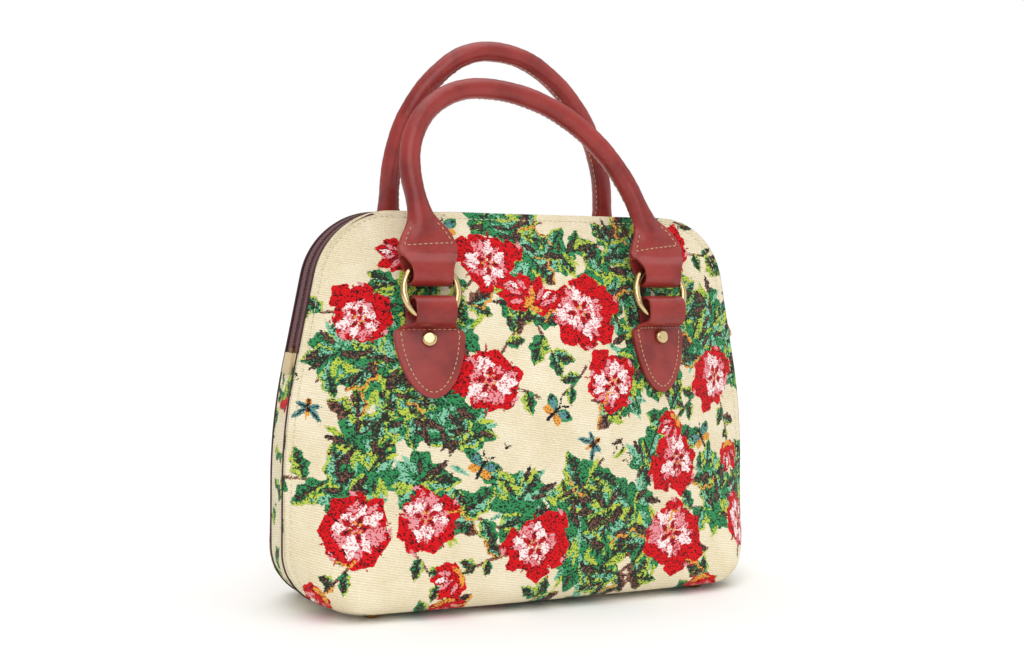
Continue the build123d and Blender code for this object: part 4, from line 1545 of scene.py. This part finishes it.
    def section(self, distance: float) -> tuple[float, float, float, float]:
        """Half width, half thickness of the flat leather, half height of the roll in it, and squareness."""
        half = np.interp(distance, self.marks, self.widths) / 2
        flat = np.interp(distance, self.marks, self.layers) / 2
        roll = np.interp(distance, self.marks, self.ridges) / 2
        return float(half), float(flat), float(roll), float(np.interp(distance, *self.squareness))

    def rise(self, wide: float | np.ndarray, sizes: tuple[float, float, float, float]) -> np.ndarray:
        """Half thickness of the section at a place across it: flat leather, with the roll as a ridge."""
        half, flat, roll, square = sizes
        layer = flat * np.maximum(1 - np.minimum(np.abs(wide) / half, 1) ** square, 0) ** (1 / square)
        reach = min(half, self.roll_half)
        ridge = roll * np.sqrt(np.maximum(1 - (np.abs(wide) / reach) ** 2, 0))
        return (layer**3 + ridge**3) ** (1 / 3)

    def angles(self) -> np.ndarray:
        """Angles round the section, close together at the seam and at the strap's two edges."""
        near = np.array(QUARTER_ANGLES)
        quarter = np.concatenate([near, math.pi - near[::-1]])
        return np.concatenate([quarter, math.pi + quarter[1:], [math.tau]])

    def roll_points(self) -> np.ndarray:
        """Rows of points round the rolled and flattened leather."""
        line = self.line()
        kernel = np.hanning(7) / np.hanning(7).sum()
        distance = np.pad(line[:, 4], 3, mode="edge")
        exact = np.array([self.section(d) for d in distance])
        soft = np.stack([np.convolve(exact[:, i], kernel, mode="valid") for i in range(4)], axis=1)
        soft[0] = soft[-1] = self.section(self.flat_root)
        angles = self.angles()
        rows = []
        for k, ((x, up, run_x, run_up, far), sizes) in enumerate(zip(line, soft)):
            rolled = min(max((far - self.roll_start) / self.roll_run, 0), 1)
            turned = angles + math.radians(self.seam_twist) * rolled
            c, s = np.cos(turned), np.sin(turned)
            across = sizes[0] * np.sign(c) * np.abs(c) ** (2 / sizes[3])
            height = np.sign(s) * self.rise(across, tuple(sizes))
            near = np.minimum(angles, math.tau - angles)
            dent = self.seam_dent * np.exp(-((near / self.dent_reach) ** 2))
            far_dent = self.edge_dent * np.exp(-(((angles - math.pi) / self.dent_reach) ** 2))
            wave = sum(size * np.sin(k * pace + turns * angles) for size, pace, turns in self.waves)
            grow = 1 - dent - far_dent * (1 - rolled) + wave * rolled
            inward = np.array((run_up, -run_x))
            rows.append(np.stack([
                x + inward[0] * across * grow, up + inward[1] * across * grow, height * grow,
            ], axis=1))
        return np.array(rows)

    def loop_points(self, across: int) -> np.ndarray:
        """Outer face of the flat end that turns under a ring, from its front to its back."""
        left, right = self.solve()
        steps = left if across < 0 else right
        start = (-self.flat_root, self.layers[0] / 2 + self.cuff_rise)
        run = fold_run(start, (0.0, 0.0), self.turn_rise, self.turn_radius)
        turn = run + [(up, -out) for up, out in run[:10][::-1]]
        shares = crowded(17)
        rows = []

        def cuff(distance: float, face: int) -> None:
            """Adds a row that lies on the roll's flattened end."""
            sizes = self.section(distance)
            x, up, heading = self.walk(steps, across, distance)
            angle = math.radians(heading)
            wide = shares * sizes[0]
            out = face * (np.maximum(self.rise(wide, sizes), sizes[1] * 0.5) + self.cuff_rise)
            rows.append(np.stack([
                x + math.cos(angle) * wide, up + across * math.sin(angle) * wide, out,
            ], axis=1))

        for distance in np.linspace(self.cuff, self.flat_root + self.cuff_gap, 7):
            cuff(float(distance), 1)
        for down, out in turn:
            rise = -down
            spread = min(max((rise + self.turn_rise) / (self.flat_root + self.turn_rise), 0), 1)
            half = self.half_fold + (self.widths[0] / 2 - self.half_fold) * spread**1.4
            place = across * self.x + shares * half
            height = np.full_like(shares, self.ring_rise + rise)
            rows.append(np.stack([place, height, np.full_like(shares, out)], axis=1))
        for distance in np.linspace(self.flat_root + self.cuff_gap, self.cuff, 7):
            cuff(float(distance), -1)
        return np.array(rows)

    def build(self, hide: bpy.types.Material) -> bpy.types.Object:
        """Makes the handle of its rolled length and its two turned ends."""
        flip = -1 if self.side > 0 else 1
        mesh = skin(self.place(self.roll_points())[:, ::flip], closed=True)
        for across in (-1, 1):
            loop = self.place(self.loop_points(across))[:, ::-flip]
            skin(loop, wall=self.leather - self.slack, target=mesh)
        piece = piece_of(mesh, f"rolled_handle_{self.name}", hide)
        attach(piece, f"{self.name}_handle")
        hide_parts(f"handle_{self.name}")
        return piece

    def stitch(self, thread: bpy.types.Material) -> bpy.types.Object:
        """Sews the seam along the roll and the lines round both flat ends."""
        mesh = bmesh.new()
        points, angles = self.place(self.roll_points()), self.angles()
        line = self.line()
        rolled = line[:, 4] > self.flat_root + self.flat_bend + self.seam_gap
        centre = points[:, : len(angles) - 1].mean(axis=1)
        seam = points[rolled, self.seam_column]
        out = seam - centre[rolled]
        out /= np.linalg.norm(out, axis=1, keepdims=True)
        stitches = Seam(pitch=3.6, length=2.6, thick=0.7)
        stitches.sew(mesh, [(Vector(p), Vector(o)) for p, o in zip(seam, out)])
        left, right = self.solve()
        for steps, across in ((left, -1), (right, 1)):
            for face in (1, -1):
                self.sew_strap(mesh, steps, across, face)
        piece = piece_of(mesh, f"handle_stitch_{self.name}", thread)
        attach(piece, f"{self.name}_handle")
        return piece

    def sew_strap(self, mesh: bmesh.types.BMesh, steps: list[Step], across: int, face: int) -> None:
        """Sews the line down one edge of a flat end, across it and up its other edge."""
        (low, high), inset = self.sewn, self.stitch_inset
        spots = []
        sides = [(d, -1) for d in np.linspace(high, low, 12)]
        for distance, edge in sides + [(d, 1) for d, _ in sides[::-1]]:
            spots.append((distance, edge * (self.section(distance)[0] - inset)))
        middle = len(spots) // 2
        width = spots[middle][1]
        spots[middle:middle] = [(low, w) for w in np.linspace(-width, width, 14)[1:-1]]
        line = []
        for distance, wide in spots:
            sizes = self.section(distance)
            x, up, heading = self.walk(steps, across, distance)
            angle = math.radians(heading)
            along = np.array((math.cos(angle), across * math.sin(angle)))
            proud = self.cuff_stitch_rise if distance < self.cuff else self.stitch_rise
            rise = float(self.rise(wide, sizes)) + proud
            flat = np.array([(x + along[0] * wide, up + along[1] * wide, face * rise)])
            past = flat + (0, 0, face)
            spot, out = self.place(flat)[0], self.place(past)[0]
            line.append((Vector(spot), Vector(out - spot)))
        Seam(pitch=3.4, length=2.5, thick=0.75).sew(mesh, line)


@dataclass
class ZipCoil:
    """The closed zip: two rows of meshed coils on a dark band, over the top and down both sides."""

    form: BagForm
    low: float = 158.4
    pitch: float = 1.5
    reach: float = 3.3
    thick: float = 1.15
    drop: float = 0.85
    shown: tuple[Spot, ...] = ((-38.0, 24.0), (120.0, 17.0))
    band: tuple[Spot, ...] = (
        (2.95, -0.9), (2.9, -0.3), (1.6, -0.1), (0.0, -0.3), (-1.6, -0.1), (-2.9, -0.3), (-2.95, -0.9),
    )

    def path(self) -> tuple[np.ndarray, np.ndarray]:
        """Places along the bag's outline from right to left, and their outward directions."""
        heights = self.low + (self.form.top - self.low) * np.sin(np.linspace(0, math.pi / 2, 500))
        right = np.array([(self.form.width(z), z) for z in heights])
        top = np.linspace(right[-1, 0], -right[-1, 0], 160)[1:-1]
        flat = np.stack([top, np.full_like(top, self.form.top)], axis=1)
        line = np.concatenate([right, flat, right[::-1] * (-1, 1)])
        run = np.concatenate([[0], np.cumsum(np.linalg.norm(np.diff(line, axis=0), axis=1))])
        marks = np.linspace(0, run[-1], int(run[-1] / self.pitch * 2))
        places = np.stack([np.interp(marks, run, line[:, i]) for i in range(2)], axis=1)
        along = np.gradient(places, axis=0)
        along /= np.linalg.norm(along, axis=1, keepdims=True)
        return places, np.stack([along[:, 1], -along[:, 0]], axis=1)

    def sink(self, places: np.ndarray, outs: np.ndarray) -> np.ndarray:
        """How far the coil lies under the top edges: less at the two places where it shows."""
        shows = sum(np.exp(-(((places[:, 0] - x) / wide) ** 4)) for x, wide in self.shown)
        return (self.drop * np.clip(outs[:, 1], 0, 1) ** 2 * (1 - shows))[:, None]

    def build(self, coil: bpy.types.Material) -> bpy.types.Object:
        """Makes the band and its teeth."""
        places, outs = self.path()
        places = places - outs * self.sink(places, outs)
        rows = []
        for y, rise in self.band:
            at = places[::2] + outs[::2] * rise
            rows.append(np.stack([at[:, 0], np.full(len(at), y), at[:, 1]], axis=1))
        mesh = skin(np.array(rows))
        for k, (place, out) in enumerate(zip(places, outs)):
            side = 1 if k % 2 else -1
            spot = Vector((place[0] + out[0] * 0.12, side * 1.1, place[1] + out[1] * 0.12))
            matrix = frame_matrix(spot, Vector((0, 1, 0.0)), Vector((out[0], 0, out[1])))
            shape = Matrix.Diagonal((self.reach / 2, self.thick / 2, 0.78, 1))
            bmesh.ops.create_icosphere(mesh, subdivisions=1, radius=1.0, matrix=matrix @ shape)
        piece = piece_of(mesh, "zip_teeth", coil)
        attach(piece, "bag")
        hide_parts("zip_coil")
        return piece


@dataclass
class EdgeBinding:
    """The slim dark binding behind each panel's folded edge, round the bag's outline."""

    form: BagForm
    radius: float = 0.75
    rise: float = 0.15
    depth: float = 12.5
    low: float = 6.0
    drop: float = 1.0

    def build(self, face: str, side: int, trim: bpy.types.Material) -> bpy.types.Object:
        """Makes the binding of one face.

        Args:
            face: The name of the face.
            side: -1 at the front and 1 at the back.
            trim: Its finish.

        Returns:
            The piece.
        """
        places, outs = ZipCoil(self.form, low=self.low).path()
        places, outs = places[::3], outs[::3]
        places = places - outs * self.drop * np.clip(outs[:, 1:], 0, 1) ** 2
        rows = []
        for angle in np.linspace(0, math.tau, 9) * side:
            at = places + outs * (self.rise + self.radius * math.cos(angle))
            depth = side * self.depth + self.radius * math.sin(angle)
            rows.append(np.stack([at[:, 0], np.full(len(at), depth), at[:, 1]], axis=1))
        piece = piece_of(skin(np.array(rows).swapaxes(0, 1), closed=True), f"edge_binding_{face}", trim)
        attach(piece, "bag")
        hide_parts(f"piping_{face}")
        return piece


@dataclass
class Studio:
    """White studio: a pale floor, soft lights and the camera."""

    place: Point = (-390.9, -841.1, 208.0)
    turn: float = 24.6
    fall: float = 2.5
    roll: float = 0.7
    lens: float = 50.94
    lamps: tuple[tuple[str, Point, float, float], ...] = (
        ("front_lamp", (-1.1, -2.2, 1.5), 50, 1.15),
        ("side_lamp", (2.2, -1.2, 0.9), 60, 0.4),
        ("top_lamp", (0.1, 0.2, 2.6), 70, 1.25),
    )
    room: tuple[Spot, ...] = ((0.0, 0.5), (0.55, 0.44), (1.0, 0.75))

    def floor(self) -> None:
        """Lays the floor."""
        mesh = bmesh.new()
        bmesh.ops.create_grid(mesh, x_segments=1, y_segments=1, size=8000.0)
        g = Graph("studio_floor")
        cloud = g.noise(g.place(), 3.0, 2.0)
        colour = g.blend(cloud, tint("F6F5F3"), tint("FAF9F8"))
        pale = g.finish(colour, 0.9, None, 0.0, {"Specular IOR Level": 0.1})
        piece_of(mesh, "studio_floor", pale)

    def lamp(self, name: str, spot: Point, spread: float, power: float) -> None:
        """Hangs one broad far lamp that shines from a direction towards the bag."""
        data = bpy.data.lights.new(name, "SUN")
        data.angle, data.energy = math.radians(spread), power
        lamp = bpy.data.objects.new(name, data)
        lamp.location = spot
        lamp.rotation_euler = Vector(spot).to_track_quat("Z", "Y").to_euler()
        bpy.context.scene.collection.objects.link(lamp)

    def light(self) -> None:
        """Hangs the lamps and lights the room: bright above, dimmer below, and white behind the bag."""
        for name, spot, spread, power in self.lamps:
            self.lamp(name, spot, spread, power)
        world = bpy.data.worlds.new("studio")
        bpy.context.scene.world = world
        world.use_nodes = True
        tree = world.node_tree
        tree.nodes.clear()
        kinds = "TexCoord SeparateXYZ ValToRGB Background Background LightPath MixShader".split()
        place, parts, ramp, walls, white, seen, either = (tree.nodes.new(f"ShaderNode{k}") for k in kinds)
        output = tree.nodes.new("ShaderNodeOutputWorld")
        levels = ramp.color_ramp.elements
        levels.new(0.5)
        for element, (spot, level) in zip(levels, self.room):
            element.position, element.color = spot, (level, level, level, 1)
        white.inputs[0].default_value = (1.0, 1.0, 1.0, 1.0)
        for start, end in (
            (place.outputs["Generated"], parts.inputs[0]), (parts.outputs[2], ramp.inputs[0]),
            (ramp.outputs[0], walls.inputs[0]), (seen.outputs["Is Camera Ray"], either.inputs[0]),
            (walls.outputs[0], either.inputs[1]), (white.outputs[0], either.inputs[2]),
            (either.outputs[0], output.inputs[0]),
        ):
            tree.links.new(start, end)

    def camera(self) -> None:
        """Stands the camera at the photograph's angle."""
        turn, fall, roll = (math.radians(v) for v in (self.turn, self.fall, self.roll))
        ahead = Vector((math.sin(turn) * math.cos(fall), math.cos(turn) * math.cos(fall), -math.sin(fall)))
        right = Vector((math.cos(turn), -math.sin(turn), 0))
        up = right.cross(ahead)
        rolled_right = right * math.cos(roll) + up * math.sin(roll)
        rolled_up = up * math.cos(roll) - right * math.sin(roll)
        data = bpy.data.cameras.new("photo_camera")
        data.lens = self.lens
        data.clip_start, data.clip_end = 0.01, 60.0
        camera = bpy.data.objects.new("photo_camera", data)
        axes = Matrix((rolled_right, rolled_up, -ahead)).transposed().to_4x4()
        camera.matrix_world = Matrix.Translation(Vector(self.place) * MM) @ axes
        bpy.context.scene.collection.objects.link(camera)
        bpy.context.scene.camera = camera

    def build(self) -> None:
        """Makes the whole studio."""
        self.floor()
        self.light()
        self.camera()
        bpy.context.scene.view_settings.view_transform = "Standard"


def dress_nodes(nodes: dict[str, bpy.types.Object], finishes: dict[str, bpy.types.Material]) -> int:
    """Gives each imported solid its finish.

    Args:
        nodes: The solids by name.
        finishes: A finish for each beginning of a name.

    Returns:
        How many were dressed.
    """
    dressed = 0
    for name, node in nodes.items():
        material = next(m for start, m in finishes.items() if name.startswith(start))
        node.data.materials.clear()
        node.data.materials.append(material)
        dressed += 1
    return dressed


def main() -> None:
    """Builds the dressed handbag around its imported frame."""
    logging.basicConfig(level=logging.INFO, format="%(name)s: %(message)s")
    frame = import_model()
    Studio().build()
    cloth = TapestryFinish().build("printed_tapestry")
    ground = TapestryFinish(printed=False).build("plain_tapestry")
    hide = LeatherFinish().build("brick_leather")
    thread = ThreadFinish().build("cream_thread")
    pale_thread = ThreadFinish("E8DCB8", "CFC094").build("pale_thread")
    brass = MetalFinish("D8C090", "B4925C", 0.12).build("pale_brass")
    dull = MetalFinish("A8803E", "6E5228", 0.3).build("dull_brass")
    coil = TrimFinish("5E2A2A", "33100F", pitch=1.5, rough=0.4).build("zip_coil")
    finishes = {
        "tapestry": ground,
        "side_strip": ground,
        "lining": TrimFinish("B9A78A", "8E7C60", pitch=0.7, rough=0.85).build("lining_cloth"),
        "base_board": TrimFinish("3A332E", "241F1B", pitch=2.0, rough=0.8).build("base_board"),
        "piping": TrimFinish("4A1218", "27090C", pitch=0.8, rough=0.6).build("dark_piping"),
        "zip_tape": TrimFinish("74202A", "471219", pitch=0.8, rough=0.75).build("zip_tape"),
        "zip_coil": coil,
        "zip_stop": dull,
        "zip_end_tab": TrimFinish("E2CDA0", "BFA472", pitch=0.9, rough=0.8).build("end_cloth"),
        "zip_slider": brass,
        "zip_pull": brass,
        "tab": hide,
        "rivet": brass,
        "ring": brass,
        "handle": hide,
        "foot": dull,
    }
    log.info("%d packed solids dressed", dress_nodes(frame["nodes"], finishes))
    form = BagForm()
    body = TapestryCloth(form)
    for face, side in (("front", -1), ("back", 1)):
        piece, panel = body.build(face, side, cloth)
        body.stitch(face, panel, pale_thread)
        log.info("%s: %d faces", piece.name, len(piece.data.polygons))
    tab = ShieldTab(form)
    for face, side in (("front", 1), ("back", -1)):
        for hand, across in (("right", 1), ("left", -1)):
            piece = tab.build(f"{face}_{hand}", across, side, hide)
            tab.stitch(f"{face}_{hand}", across, side, thread)
            log.info("%s: %d faces", piece.name, len(piece.data.polygons))
    handles = (
        RolledHandle(
            name="front", side=-1, lean=14.5, crown=142.8,
            left=(-10.0, ((8.0, 68.0), (90.0, 52.0))),
            right=(21.0, ((52.0, 112.0), (90.0, 85.0))),
        ),
        RolledHandle(
            name="back", side=1, lean=12.0, crown=168.3,
            left=(-2.0, ((9.0, 140.0), (50.0, 92.0), (90.0, 42.0))),
            right=(8.0, ((30.0, 112.0), (60.0, 117.0), (90.0, 56.0))),
        ),
    )
    for handle in handles:
        piece = handle.build(hide)
        handle.stitch(thread)
        log.info("%s: %d faces", piece.name, len(piece.data.polygons))
    log.info("%s made", ZipCoil(form).build(coil).name)
    for face, side in (("front", -1), ("back", 1)):
        log.info("%s made", EdgeBinding(form).build(face, side, finishes["piping"]).name)


if __name__ == "__main__":
    main()
